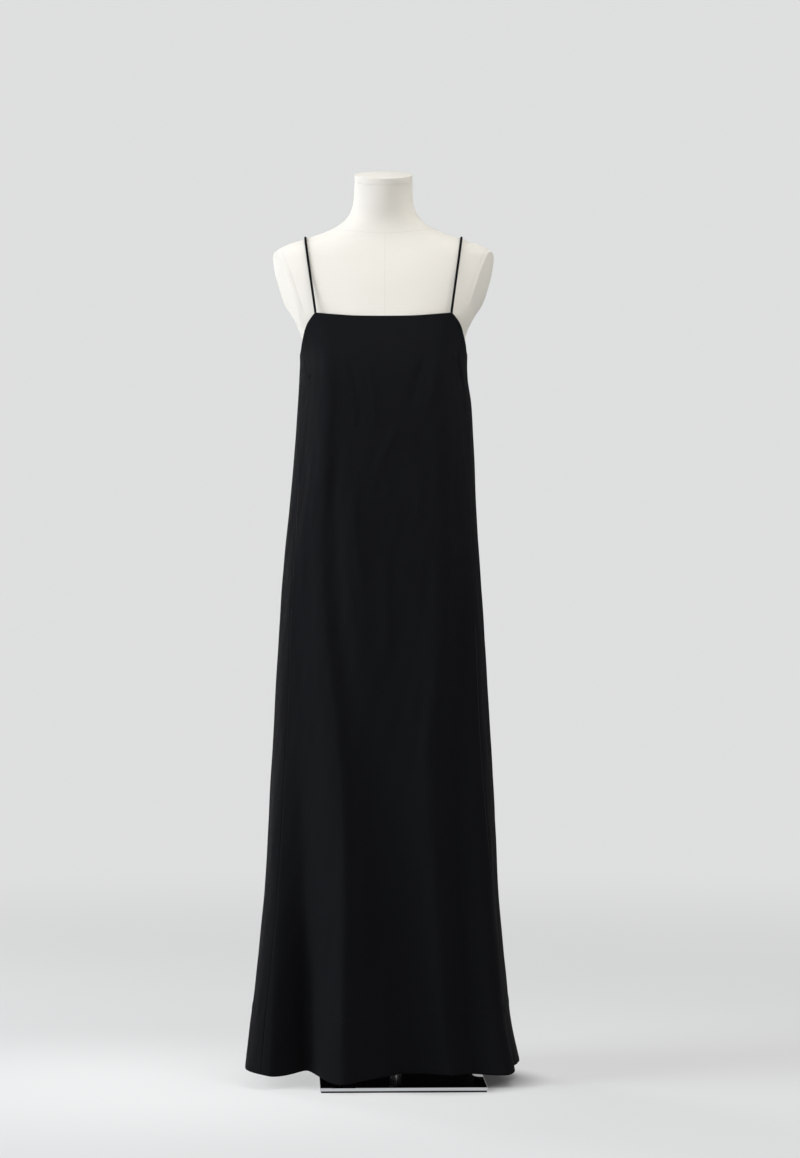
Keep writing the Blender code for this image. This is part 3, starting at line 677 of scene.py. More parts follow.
@dataclass
class ClothPanel:
    """One panel of the dress as a thin closed shell between its two side seams.

    `roll_in` and `roll_thick` are the shares of the drape's edge roll by which the turned edges draw in
    and grow thicker.
    """

    side: Side
    drape: Drape
    columns: int = 200
    rows: int = 222
    cloth_thick: float = 0.0009
    roll_in: float = 0.5
    roll_thick: float = 0.25
    focuses: tuple[Focus, ...] = (BODICE_ROWS, HEM_STITCH_ROWS, TOP_EDGE_ROWS, HEM_EDGE_ROWS)

    def seams(self, height: Array) -> tuple[Array, Array]:
        """The turns of the panel's two edges at given heights."""
        left, right = SIDE_SEAMS.at(height, "left"), SIDE_SEAMS.at(height, "right")
        return (left, right) if self.side is Side.FRONT else (right, left + 360)

    def column_shares(self, start: float, end: float) -> Array:
        """Shares across the panel, with one on each strap corner.

        Args:
            start: Turn of the panel's first edge at the top.
            end: Turn of its last edge at the top.

        Returns:
            Rising shares from 0 to 1.
        """
        shares = np.linspace(0, 1, self.columns + 1)
        corner = FRONT_CORNER_TURN if self.side is Side.FRONT else BACK_CORNER_TURN
        mirror = -corner if self.side is Side.FRONT else 360 - corner
        for turn in (corner, mirror):
            share = (turn - start) / (end - start)
            shares[1 + np.argmin(np.abs(shares[1:-1] - share))] = share
        return shares

    def row_shares(self) -> Array:
        """Shares down the panel, closer together where it has a focus.

        Returns:
            Rising shares from 0 to 1.
        """
        down = np.linspace(0, 1, 600)
        weight = np.ones_like(down)
        for focus in self.focuses:
            weight += focus.extra * np.exp(-(((down - focus.place) / focus.width) ** 2))
        reach = np.concatenate([[0], np.cumsum((weight[1:] + weight[:-1]) / 2)])
        return np.interp(np.linspace(0, 1, self.rows + 1), reach / reach[-1], down)

    def grids(self) -> tuple[Array, Array]:
        """The outer and the inner points, as rows from the top edge to the hem.

        Returns:
            The two grids of points.
        """
        top = float(self.drape.top(np.array(UNDERARM_TURN)))
        top_start, top_end = (float(edge) for edge in self.seams(np.array(top)))
        hem_start, hem_end = (float(edge) for edge in self.seams(np.array(HEM_LEVEL)))
        share = self.column_shares(top_start, top_end)[None, :]
        high = self.drape.top(wrapped(top_start + (top_end - top_start) * share))
        low = HEM.at(wrapped(hem_start + (hem_end - hem_start) * share), "height")
        height = high + (low - high) * self.row_shares()[:, None]
        start, end = self.seams(height)
        turn = start + (end - start) * share
        outward = self.drape.outward(turn, height)
        roll = self.drape.edge_roll * (
            np.exp(-(((high - height) / self.drape.edge_roll_width) ** 2))
            + np.exp(-(((height - low) / self.drape.edge_roll_width) ** 2))
        )
        push = self.drape.relief(wrapped(turn), height) - roll * self.roll_in
        outer = self.drape.base(turn, height) + outward * push[..., None]
        inner = outer - outward * (self.cloth_thick + roll * self.roll_thick)[..., None]
        return outer, inner

    def shell(self, outer: Array, inner: Array) -> bpy.types.Mesh:
        """Joins the two faces of the cloth into one closed mesh.

        Args:
            outer: The outer points in rows.
            inner: The inner points in rows.

        Returns:
            The mesh.
        """
        rows, columns = outer.shape[:2]
        index = np.arange(rows * columns).reshape(rows, columns)
        corners = [index[:-1, :-1], index[1:, :-1], index[1:, 1:], index[:-1, 1:]]
        outer_faces = np.stack([corner.ravel() for corner in corners], axis=-1)
        inner_faces = outer_faces[:, ::-1] + rows * columns
        rim = np.concatenate([index[0], index[1:-1, -1], index[-1, ::-1], index[1:-1, 0][::-1]])
        after = np.roll(rim, -1)
        rim_faces = np.stack([rim, after, after + rows * columns, rim + rows * columns], axis=-1)
        faces = np.concatenate([outer_faces, inner_faces, rim_faces])
        points = np.concatenate([outer.reshape(-1, 3), inner.reshape(-1, 3)])
        mesh = bpy.data.meshes.new(f"dress_{self.side.value}_cloth")
        mesh.from_pydata(points.tolist(), [], faces.tolist())
        return mesh

    def measure(self, mesh: bpy.types.Mesh, outer: Array) -> None:
        """Writes the cloth's own measure, in metres across and up, to the mesh's UV map.

        Args:
            mesh: The panel's mesh.
            outer: Its outer points in rows.
        """
        rows, columns = outer.shape[:2]
        width = np.linalg.norm(np.diff(outer, axis=1), axis=-1)
        length = np.linalg.norm(np.diff(outer, axis=0), axis=-1)
        u = np.concatenate([np.zeros((rows, 1)), np.cumsum(width, axis=1)], axis=1)
        v = -np.concatenate([np.zeros((1, columns)), np.cumsum(length, axis=0)], axis=0)
        flat = np.stack([u - u[:, -1:] / 2, v], axis=-1).reshape(-1, 2)
        loops = np.empty(len(mesh.loops), dtype=np.int64)
        mesh.loops.foreach_get("vertex_index", loops)
        layer = mesh.uv_layers.new(name="cloth")
        layer.data.foreach_set("uv", np.concatenate([flat, flat])[loops].ravel())

    def build(self, material: bpy.types.Material) -> bpy.types.Object:
        """Makes the panel.

        Args:
            material: The cloth.

        Returns:
            The panel as one piece.
        """
        outer, inner = self.grids()
        mesh = self.shell(outer, inner)
        self.measure(mesh, outer)
        across, up = outer[:-1, 1:] - outer[:-1, :-1], outer[1:, :-1] - outer[:-1, :-1]
        area = np.linalg.norm(np.cross(up, across), axis=-1).sum()
        LOG.info("%s: %.3f m2 of cloth", mesh.name, area)
        return new_object(mesh.name, mesh, material)


# --- Things that repeat or follow a path -----------------------------------------------------
class NodeWork:
    """A tree of nodes that is built here."""

    def __init__(self, tree: bpy.types.NodeTree) -> None:
        """Keeps the tree."""
        self.tree = tree

    def node(self, kind: str, inputs: dict | None = None, **settings: object) -> bpy.types.Node:
        """Adds a node.

        Args:
            kind: Its type.
            inputs: What goes into its sockets, by name or number: an output socket or a value.
            settings: Its own settings.

        Returns:
            The node.
        """
        node = self.tree.nodes.new(kind)
        for name, value in settings.items():
            setattr(node, name, value)
        for name, value in (inputs or {}).items():
            if isinstance(value, Socket):
                self.tree.links.new(value, node.inputs[name])
            else:
                node.inputs[name].default_value = value
        return node


class PathTool(NodeWork):
    """A Geometry Nodes tree that works on a path, with named sizes."""

    def __init__(self, name: str, sizes: dict[str, float]) -> None:
        """Starts a tree with its path and its sizes.

        Args:
            name: The tree's name.
            sizes: Each size's name and value.
        """
        super().__init__(bpy.data.node_groups.new(name, "GeometryNodeTree"))
        self.sizes = sizes
        sockets = self.tree.interface
        sockets.new_socket(name="Path", in_out="INPUT", socket_type="NodeSocketGeometry")
        for size in sizes:
            sockets.new_socket(name=size, in_out="INPUT", socket_type="NodeSocketFloat")
        sockets.new_socket(name="Result", in_out="OUTPUT", socket_type="NodeSocketGeometry")
        self.input = self.tree.nodes.new("NodeGroupInput")
        self.output = self.tree.nodes.new("NodeGroupOutput")

    def finish(self, geometry: Socket, material: bpy.types.Material) -> None:
        """Ends the tree in real meshes with a material.

        Args:
            geometry: What the tree has made.
            material: Its material.
        """
        real = self.node("GeometryNodeRealizeInstances", {"Geometry": geometry})
        dressed = self.node("GeometryNodeSetMaterial", {"Geometry": real.outputs[0], "Material": material})
        self.tree.links.new(dressed.outputs[0], self.output.inputs["Result"])

    def run(self, name: str, points: Array, material: bpy.types.Material, loop: bool) -> bpy.types.Object:
        """Runs the tree along a path and keeps the plain mesh.

        Args:
            name: The piece's name.
            points: The path's points.
            material: The piece's material.
            loop: Whether the path closes on itself.

        Returns:
            The piece.
        """
        count = len(points)
        edges = [(k, k + 1) for k in range(count - 1)] + ([(count - 1, 0)] if loop else [])
        path_mesh = bpy.data.meshes.new(f"{name}_path")
        path_mesh.from_pydata(points.tolist(), edges, [])
        path = bpy.data.objects.new(f"{name}_path", path_mesh)
        bpy.context.scene.collection.objects.link(path)
        modifier = path.modifiers.new("work", "NODES")
        modifier.node_group = self.tree
        for socket in self.tree.interface.items_tree:
            if socket.item_type == "SOCKET" and socket.in_out == "INPUT" and socket.name in self.sizes:
                modifier[socket.identifier] = self.sizes[socket.name]
        evaluated = path.evaluated_get(bpy.context.evaluated_depsgraph_get())
        mesh = bpy.data.meshes.new_from_object(evaluated)
        path.modifiers.clear()
        bpy.data.objects.remove(path)
        bpy.data.meshes.remove(path_mesh)
        return new_object(name, mesh, material)


@dataclass(frozen=True)
class Stitches:
    """A row of hand or machine stitches that lies along a path."""

    pitch: float
    length: float
    thread: float
    unevenness: float = 0.15
    seed: int = 3

    def sew(
        self, name: str, points: Array, material: bpy.types.Material, loop: bool = False
    ) -> bpy.types.Object:
        """Sews the row.

        Args:
            name: The piece's name.
            points: The row's path.
            material: The thread.
            loop: Whether the row closes on itself.

        Returns:
            The stitches as one piece.
        """
        sizes = {
            "Pitch": self.pitch,
            "Half Length": self.length / 2,
            "Thread Radius": self.thread / 2,
            "Unevenness": self.unevenness,
        }
        tool = PathTool(f"{name}_tree", sizes)
        given = tool.input.outputs
        curve = tool.node("GeometryNodeMeshToCurve", {"Mesh": given["Path"]})
        spots = tool.node(
            "GeometryNodeCurveToPoints",
            {"Curve": curve.outputs["Curve"], "Length": given["Pitch"]},
            mode="LENGTH",
        )
        thread = tool.node("GeometryNodeMeshUVSphere", {"Segments": 8, "Rings": 6, "Radius": 1.0})
        along = tool.node(
            "FunctionNodeAlignRotationToVector", {"Vector": spots.outputs["Tangent"]}, axis="Z"
        )
        shape = tool.node(
            "ShaderNodeCombineXYZ",
            {"X": given["Thread Radius"], "Y": given["Thread Radius"], "Z": given["Half Length"]},
        )
        least = tool.node("ShaderNodeMath", {0: 1.0, 1: given["Unevenness"]}, operation="SUBTRACT")
        most = tool.node("ShaderNodeMath", {0: 1.0, 1: given["Unevenness"]}, operation="ADD")
        spread = tool.node("FunctionNodeRandomValue", {"Seed": self.seed}, data_type="FLOAT")
        tool.tree.links.new(least.outputs[0], spread.inputs[2])
        tool.tree.links.new(most.outputs[0], spread.inputs[3])
        sized = tool.node("ShaderNodeVectorMath", {0: shape.outputs[0]}, operation="SCALE")
        tool.tree.links.new(spread.outputs[1], sized.inputs["Scale"])
        laid = tool.node(
            "GeometryNodeInstanceOnPoints",
            {
                "Points": spots.outputs["Points"],
                "Instance": thread.outputs["Mesh"],
                "Rotation": along.outputs[0],
                "Scale": sized.outputs[0],
            },
        )
        tool.finish(laid.outputs[0], material)
        return tool.run(name, points, material, loop)


@dataclass(frozen=True)
class RoundCord:
    """A round tube of one thickness that follows a path, such as a rouleau or a raised seam."""

    radius: float
    sides: int = 8

    def lay(
        self, name: str, points: Array, material: bpy.types.Material, loop: bool = False
    ) -> bpy.types.Object:
        """Lays the tube along its path.

        Args:
            name: The piece's name.
            points: The path.
            material: Its material.
            loop: Whether it closes on itself.

        Returns:
            The tube.
        """
        tool = PathTool(f"{name}_tree", {"Radius": self.radius})
        given = tool.input.outputs
        curve = tool.node("GeometryNodeMeshToCurve", {"Mesh": given["Path"]}).outputs["Curve"]
        circle = {"Resolution": self.sides, "Radius": given["Radius"]}
        ring = tool.node("GeometryNodeCurvePrimitiveCircle", circle).outputs["Curve"]
        tube = {"Curve": curve, "Profile Curve": ring, "Fill Caps": not loop}
        tool.finish(tool.node("GeometryNodeCurveToMesh", tube).outputs[0], material)
        return tool.run(name, points, material, loop)


# --- Finishes --------------------------------------------------------------------------------
# The wave texture repeats after this much of its scaled length.
WAVE_LENGTH = 2 * math.pi / 20


class Paint(NodeWork):
    """A material whose look is worked out by nodes."""

    def __init__(self, name: str) -> None:
        """Starts a material with its shader.

        Args:
            name: The material's name.
        """
        self.material = bpy.data.materials.new(name)
        self.material.use_nodes = True
        super().__init__(self.material.node_tree)
        self.surface = self.tree.nodes["Principled BSDF"]

    def place(self, uv: bool = False, scale: Triple = (1, 1, 1)) -> Socket:
        """The place on the piece, in metres, scaled.

        Args:
            uv: Whether to measure along the cloth and not in space.
            scale: A scale for each direction.

        Returns:
            The socket of the place.
        """
        where = self.node("ShaderNodeTexCoord").outputs["UV" if uv else "Object"]
        return self.node("ShaderNodeMapping", {"Vector": where, "Scale": scale}).outputs["Vector"]

    def noise(self, where: Socket, scale: float, detail: float = 2.0) -> Socket:
        """Soft noise from 0 to 1."""
        made = self.node("ShaderNodeTexNoise", {"Vector": where, "Scale": scale, "Detail": detail})
        return made.outputs[0]

    def bands(self, where: Socket, pitch: float, direction: str) -> Socket:
        """Even bands across a direction, a pitch apart."""
        inputs = {"Vector": where, "Scale": WAVE_LENGTH / pitch, "Distortion": 0.6, "Detail": 1.0}
        return self.node("ShaderNodeTexWave", inputs, bands_direction=direction).outputs["Fac"]

    def maths(self, operation: str, a: Socket | float, b: Socket | float) -> Socket:
        """One sum on two numbers."""
        return self.node("ShaderNodeMath", {0: a, 1: b}, operation=operation).outputs[0]

    def blend(self, first: Socket, second: Socket, share: float) -> Socket:
        """A share of one number with the rest of another."""
        return self.maths(
            "ADD", self.maths("MULTIPLY", first, share), self.maths("MULTIPLY", second, 1 - share)
        )

    def spread(self, value: Socket, low: float, high: float) -> Socket:
        """A number from 0 to 1 spread between two values."""
        return self.node("ShaderNodeMapRange", {"Value": value, "To Min": low, "To Max": high}).outputs[0]

    def fade(self, value: Socket, near: float, far: float) -> Socket:
        """A soft step from 1, up to a near value, to 0 from a far one."""
        inputs = {"Value": value, "From Min": near, "From Max": far, "To Min": 1.0, "To Max": 0.0}
        return self.node("ShaderNodeMapRange", inputs, interpolation_type="SMOOTHSTEP").outputs[0]

    def mix(self, share: Socket, first: Triple, second: Triple) -> Socket:
        """A colour between two."""
        made = self.node("ShaderNodeMix", {0: share, 6: (*first, 1.0), 7: (*second, 1.0)}, data_type="RGBA")
        return made.outputs[2]

    def tones(self, share: Socket, colour: Triple, levels: tuple[float, float]) -> Socket:
        """A colour made darker and lighter between two levels."""
        darker, lighter = (tuple(min(1.0, part * level) for part in colour) for level in levels)
        return self.mix(share, darker, lighter)

    def wear(self, colour: object, roughness: object, **constants: float) -> None:
        """Gives the surface its colour, its roughness and its constant values.

        Args:
            colour: A colour or its socket.
            roughness: A roughness or its socket.
            constants: Values for other sockets, with _ for a space in the name.
        """
        for name, value in (("Base Color", colour), ("Roughness", roughness)):
            if isinstance(value, Socket):
                self.tree.links.new(value, self.surface.inputs[name])
            else:
                self.surface.inputs[name].default_value = value
        for name, value in constants.items():
            self.surface.inputs[name.replace("_", " ")].default_value = value

    def bump(self, height: Socket, distance: float, strength: float) -> None:
        """Raises the surface's fine relief."""
        made = self.node("ShaderNodeBump", {"Height": height, "Distance": distance, "Strength": strength})
        self.tree.links.new(made.outputs[0], self.surface.inputs["Normal"])


@dataclass(frozen=True)
class Crepe:
    """Matt black crepe: a fine pebble over a plain weave, with a faint broad sheen."""

    name: str
    colour: Triple = (0.0083, 0.0088, 0.0098)
    levels: tuple[float, float] = (0.84, 1.16)
    roughness: tuple[float, float] = (0.74, 0.86)
    thread_pitch: float = 0.00042
    weave: float = 0.5
    pebble: float = 1100.0
    cloud: float = 7.0
    cloud_share: float = 0.6
    speckle: float = 420.0
    handling: float = 60.0
    relief: float = 0.00012
    uv: bool = True

    def make(self) -> bpy.types.Material:
        """Makes the material.

        Returns:
            The material.
        """
        paint = Paint(self.name)
        where = paint.place(self.uv)
        clouds = paint.noise(where, self.cloud, detail=3.0)
        speckle = paint.noise(where, self.speckle)
        colour = paint.tones(paint.blend(clouds, speckle, self.cloud_share), self.colour, self.levels)
        roughness = paint.spread(paint.noise(where, self.handling), *self.roughness)
        weft = paint.bands(where, self.thread_pitch, "X")
        warp = paint.bands(where, self.thread_pitch, "Y")
        weave = paint.maths("MULTIPLY", paint.maths("MAXIMUM", weft, warp), self.weave)
        relief = paint.maths("ADD", weave, paint.noise(where, self.pebble))
        paint.wear(colour, roughness, Specular_IOR_Level=0.015, Sheen_Weight=0.006, Sheen_Roughness=0.5)
        paint.bump(relief, self.relief, strength=0.7)
        return paint.material


@dataclass(frozen=True)
class Jersey:
    """Fine cream jersey pulled over the form."""

    name: str
    colour: Triple = (0.785, 0.757, 0.690)
    levels: tuple[float, float] = (0.95, 1.04)
    roughness: tuple[float, float] = (0.78, 0.92)
    wale_pitch: float = 0.0011
    course_pitch: float = 0.00088
    fuzz: float = 700.0
    cloud: float = 5.0
    cloud_share: float = 0.7
    speckle: float = 300.0
    handling: float = 40.0
    relief: float = 0.00010

    def make(self) -> bpy.types.Material:
        """Makes the material.

        Returns:
            The material.
        """
        paint = Paint(self.name)
        where = paint.place()
        clouds = paint.noise(where, self.cloud, detail=3.0)
        speckle = paint.noise(where, self.speckle)
        colour = paint.tones(paint.blend(clouds, speckle, self.cloud_share), self.colour, self.levels)
        wales = paint.bands(where, self.wale_pitch, "X")
        courses = paint.bands(where, self.course_pitch, "Z")
        knit = paint.maths("ADD", paint.maths("MULTIPLY", wales, courses), paint.noise(where, self.fuzz))
        roughness = paint.spread(paint.noise(where, self.handling), *self.roughness)
        paint.wear(colour, roughness, Specular_IOR_Level=0.25, Sheen_Weight=0.10, Sheen_Roughness=0.6)
        paint.bump(knit, self.relief, strength=0.6)
        return paint.material


@dataclass(frozen=True)
class Steel:
    """Polished steel with faint smudges and fine polishing lines."""

    name: str
    colour: Triple = (0.62, 0.63, 0.65)
    levels: tuple[float, float] = (0.96, 1.03)
    roughness: tuple[float, float] = (0.03, 0.10)
    line_pitch: float = 0.0008
    smudge: float = 14.0
    cloud: float = 4.0
    grain: float = 900.0
    relief: float = 0.000004

    def make(self) -> bpy.types.Material:
        """Makes the material.

        Returns:
            The material.
        """
        paint = Paint(self.name)
        where = paint.place()
        smudges = paint.noise(where, self.smudge, detail=4.0)
        lines = paint.bands(where, self.line_pitch, "Z")
        roughness = paint.spread(paint.maths("MULTIPLY", smudges, smudges), *self.roughness)
        colour = paint.tones(paint.noise(where, self.cloud), self.colour, self.levels)
        paint.wear(colour, roughness, Metallic=1.0)
        paint.bump(paint.maths("ADD", lines, paint.noise(where, self.grain)), self.relief, strength=0.35)
        return paint.material


@dataclass(frozen=True)
class Rubber:
    """Pebbled black rubber."""

    name: str
    colour: Triple = (0.02, 0.02, 0.02)
    levels: tuple[float, float] = (0.8, 1.4)
    roughness: tuple[float, float] = (0.8, 0.95)
    pebble: float = 600.0
    cloud: float = 20.0
    relief: float = 0.0002

    def make(self) -> bpy.types.Material:
        """Makes the material.

        Returns:
            The material.
        """
        paint = Paint(self.name)
        where = paint.place()
        grain = paint.noise(where, self.pebble, detail=3.0)
        colour = paint.tones(paint.noise(where, self.cloud), self.colour, self.levels)
        paint.wear(colour, paint.spread(grain, *self.roughness), Specular_IOR_Level=0.3)
        paint.bump(grain, self.relief, strength=0.8)
        return paint.material


@dataclass(frozen=True)
class Thread:
    """Sewing thread with its twist."""

    name: str
    colour: Triple
    levels: tuple[float, float] = (0.8, 1.2)
    roughness: tuple[float, float] = (0.55, 0.75)
    twist_pitch: float = 0.00035
    slant: float = 1.6
    relief: float = 0.00005

    def make(self) -> bpy.types.Material:
        """Makes the material.

        Returns:
            The material.
        """
        paint = Paint(self.name)
        twist = paint.bands(paint.place(scale=(1, 1, self.slant)), self.twist_pitch, "DIAGONAL")
        colour = paint.tones(twist, self.colour, self.levels)
        paint.wear(colour, paint.spread(twist, *self.roughness), Specular_IOR_Level=0.3)
        paint.bump(twist, self.relief, strength=0.8)
        return paint.material


# --- Form ------------------------------------------------------------------------------------
@dataclass(frozen=True)
class FlatCut:
    """A flat oval slab that parts an end piece from the form."""

    label: str
    sides: tuple[float, float]
    centre: Triple
    normal: Triple
    thick: float


def arm_cut(hand: Hand) -> FlatCut:
    """The cut of an arm: its plate faces outwards, down and a little forwards.

    Args:
        hand: Which arm.

    Returns:
        The cut.
    """
    tilt, away, height = math.radians(15), 0.1835, 1.420
    return FlatCut(
        label=f"form_arm_plate_{hand.label}",
        sides=(0.20, 0.236),
        centre=(hand.value * away, 0.0, height),
        normal=(hand.value * math.cos(tilt) ** 2, -math.sin(tilt), -math.sin(tilt) * math.cos(tilt)),
        thick=0.005,
    )


def neck_cut() -> FlatCut:
    """The cut of the neck: its cap faces up and forwards.

    Returns:
        The cut.
    """
    tilt = math.radians(14)
    return FlatCut(
        label="form_neck_cap",
        sides=(0.30, 0.30),
        centre=(0.0, -0.023, 1.5803),
        normal=(0.0, -math.sin(tilt), math.cos(tilt)),
        thick=0.011,
    )


END_CUTS = (neck_cut(), arm_cut(Hand.LEFT), arm_cut(Hand.RIGHT))


@dataclass
class FormSkin:
    """The form's smooth skins: the torso, its neck cap and its arm plates, parted by fine grooves."""

    columns: int = 180
    ring_step: float = 0.004
    gap: float = 0.0003
    reach: float = 0.12
    edge_round: float = 0.0009
    edge_steps: int = 3
    edge_from: float = math.radians(40)
    slab_sides: int = 128
    outside: float = 0.4
    skins: dict[str, bpy.types.Mesh] = field(init=False)
    tree: BVHTree = field(init=False)

    def __post_init__(self) -> None:
        """Makes the skins and a tree of their faces to look up places on them."""
        whole = self.whole()
        taken_off = [(cut, -cut.thick - self.gap, self.reach) for cut in END_CUTS]
        self.skins = {"form_torso": self.cut(whole, taken_off, "DIFFERENCE")}
        for cut in END_CUTS:
            self.skins[cut.label] = self.cut(whole, [(cut, -cut.thick, 0.0)], "INTERSECT")
        bpy.data.meshes.remove(whole)
        self.tree = self.face_tree([mesh for name, mesh in self.skins.items() if name != "form_neck_cap"])

    def whole(self) -> bpy.types.Mesh:
        """The form before its ends are cut, closed flat at the foot and the top.

        Returns:
            Its mesh.
        """
        low, high = FORM_SECTIONS.keys[0], FORM_SECTIONS.keys[-1]
        heights = np.linspace(low, high, round((high - low) / self.ring_step) + 1)[:, None]
        turn = np.linspace(-180, 180, self.columns, endpoint=False)[None, :]
        section = FORM_SECTIONS.every(heights)
        depth = np.where(np.abs(turn) < 90, section["front"], section["back"])
        exponent = 2 / section["squareness"]
        angle = np.radians(turn)
        x = section["half_width"] * signed_power(np.sin(angle), exponent)
        y = -depth * signed_power(np.cos(angle), exponent) + section["centre"]
        points = np.stack([x, y, np.broadcast_to(heights, x.shape)], axis=-1)
        index = np.arange(x.size).reshape(x.shape)
        after = np.roll(index, -1, axis=1)
        faces = np.stack([index[:-1], after[:-1], after[1:], index[1:]], axis=-1).reshape(-1, 4).tolist()
        faces += [index[0, ::-1].tolist(), index[-1].tolist()]
        mesh = bpy.data.meshes.new("whole_form")
        mesh.from_pydata(points.reshape(-1, 3).tolist(), [], faces)
        return mesh

    def slab(self, cut: FlatCut, start: float, end: float) -> bpy.types.Object:
        """An oval slab across a cut's normal, between two distances from its centre.

        Args:
            cut: The cut.
            start: The nearer distance along the normal.
            end: The farther distance.

        Returns:
            The slab.
        """
        work = bmesh.new()
        bmesh.ops.create_cone(
            work, cap_ends=True, segments=self.slab_sides, radius1=0.5, radius2=0.5, depth=1.0
        )
        bmesh.ops.scale(work, vec=(*cut.sides, end - start), verts=work.verts)
        bmesh.ops.translate(work, vec=(0.0, 0.0, (start + end) / 2), verts=work.verts)
        mesh = bpy.data.meshes.new("slab")
        work.to_mesh(mesh)
        work.free()
        slab = bpy.data.objects.new("slab", mesh)
        bpy.context.scene.collection.objects.link(slab)
        slab.location = cut.centre
        slab.rotation_euler = Vector(cut.normal).to_track_quat("Z", "Y").to_euler()
        return slab

    def cut(
        self, whole: bpy.types.Mesh, slabs: list[tuple[FlatCut, float, float]], operation: str
    ) -> bpy.types.Mesh:
        """Cuts the whole form with slabs and rounds the cut edges.

        Args:
            whole: The whole form.
            slabs: Each cut with the distances between which its slab lies.
            operation: Whether the slabs are taken off or kept.

        Returns:
            The cut skin.
        """
        body = bpy.data.objects.new("form_work", whole)
        bpy.context.scene.collection.objects.link(body)
        cutters = [self.slab(*slab) for slab in slabs]
        for cutter in cutters:
            modifier = body.modifiers.new("cut", "BOOLEAN")
            modifier.operation, modifier.solver, modifier.object = operation, "EXACT", cutter
        bevel = body.modifiers.new("round", "BEVEL")
        bevel.width, bevel.segments, bevel.limit_method = self.edge_round, self.edge_steps, "ANGLE"
        bevel.angle_limit, bevel.harden_normals = self.edge_from, False
        mesh = bpy.data.meshes.new_from_object(body.evaluated_get(bpy.context.evaluated_depsgraph_get()))
        body.modifiers.clear()
        bpy.data.objects.remove(body)
        for cutter in cutters:
            bpy.data.meshes.remove(cutter.data)
        return mesh

    def face_tree(self, meshes: list[bpy.types.Mesh]) -> BVHTree:
        """A tree of the faces of some skins.

        Args:
            meshes: The skins.

        Returns:
            The tree.
        """
        points, faces = [], []
        for mesh in meshes:
            start = len(points)
            points += [vertex.co.copy() for vertex in mesh.vertices]
            faces += [[start + k for k in polygon.vertices] for polygon in mesh.polygons]
        return BVHTree.FromPolygons(points, faces)

    def hit(self, origin: Triple | Array, direction: Triple | Array) -> Array:
        """Where a line first meets the skin.

        Args:
            origin: Where the line starts.
            direction: Which way it goes.

        Returns:
            The point on the skin.
        """
        return np.array(self.tree.ray_cast(Vector(origin), Vector(direction))[0])

    def level_hit(self, x: float, side: Side, height: float) -> Array:
        """The point of the skin's front or back at a place across and a height."""
        return self.hit((x, side.facing * self.outside, height), (0, -side.facing, 0))


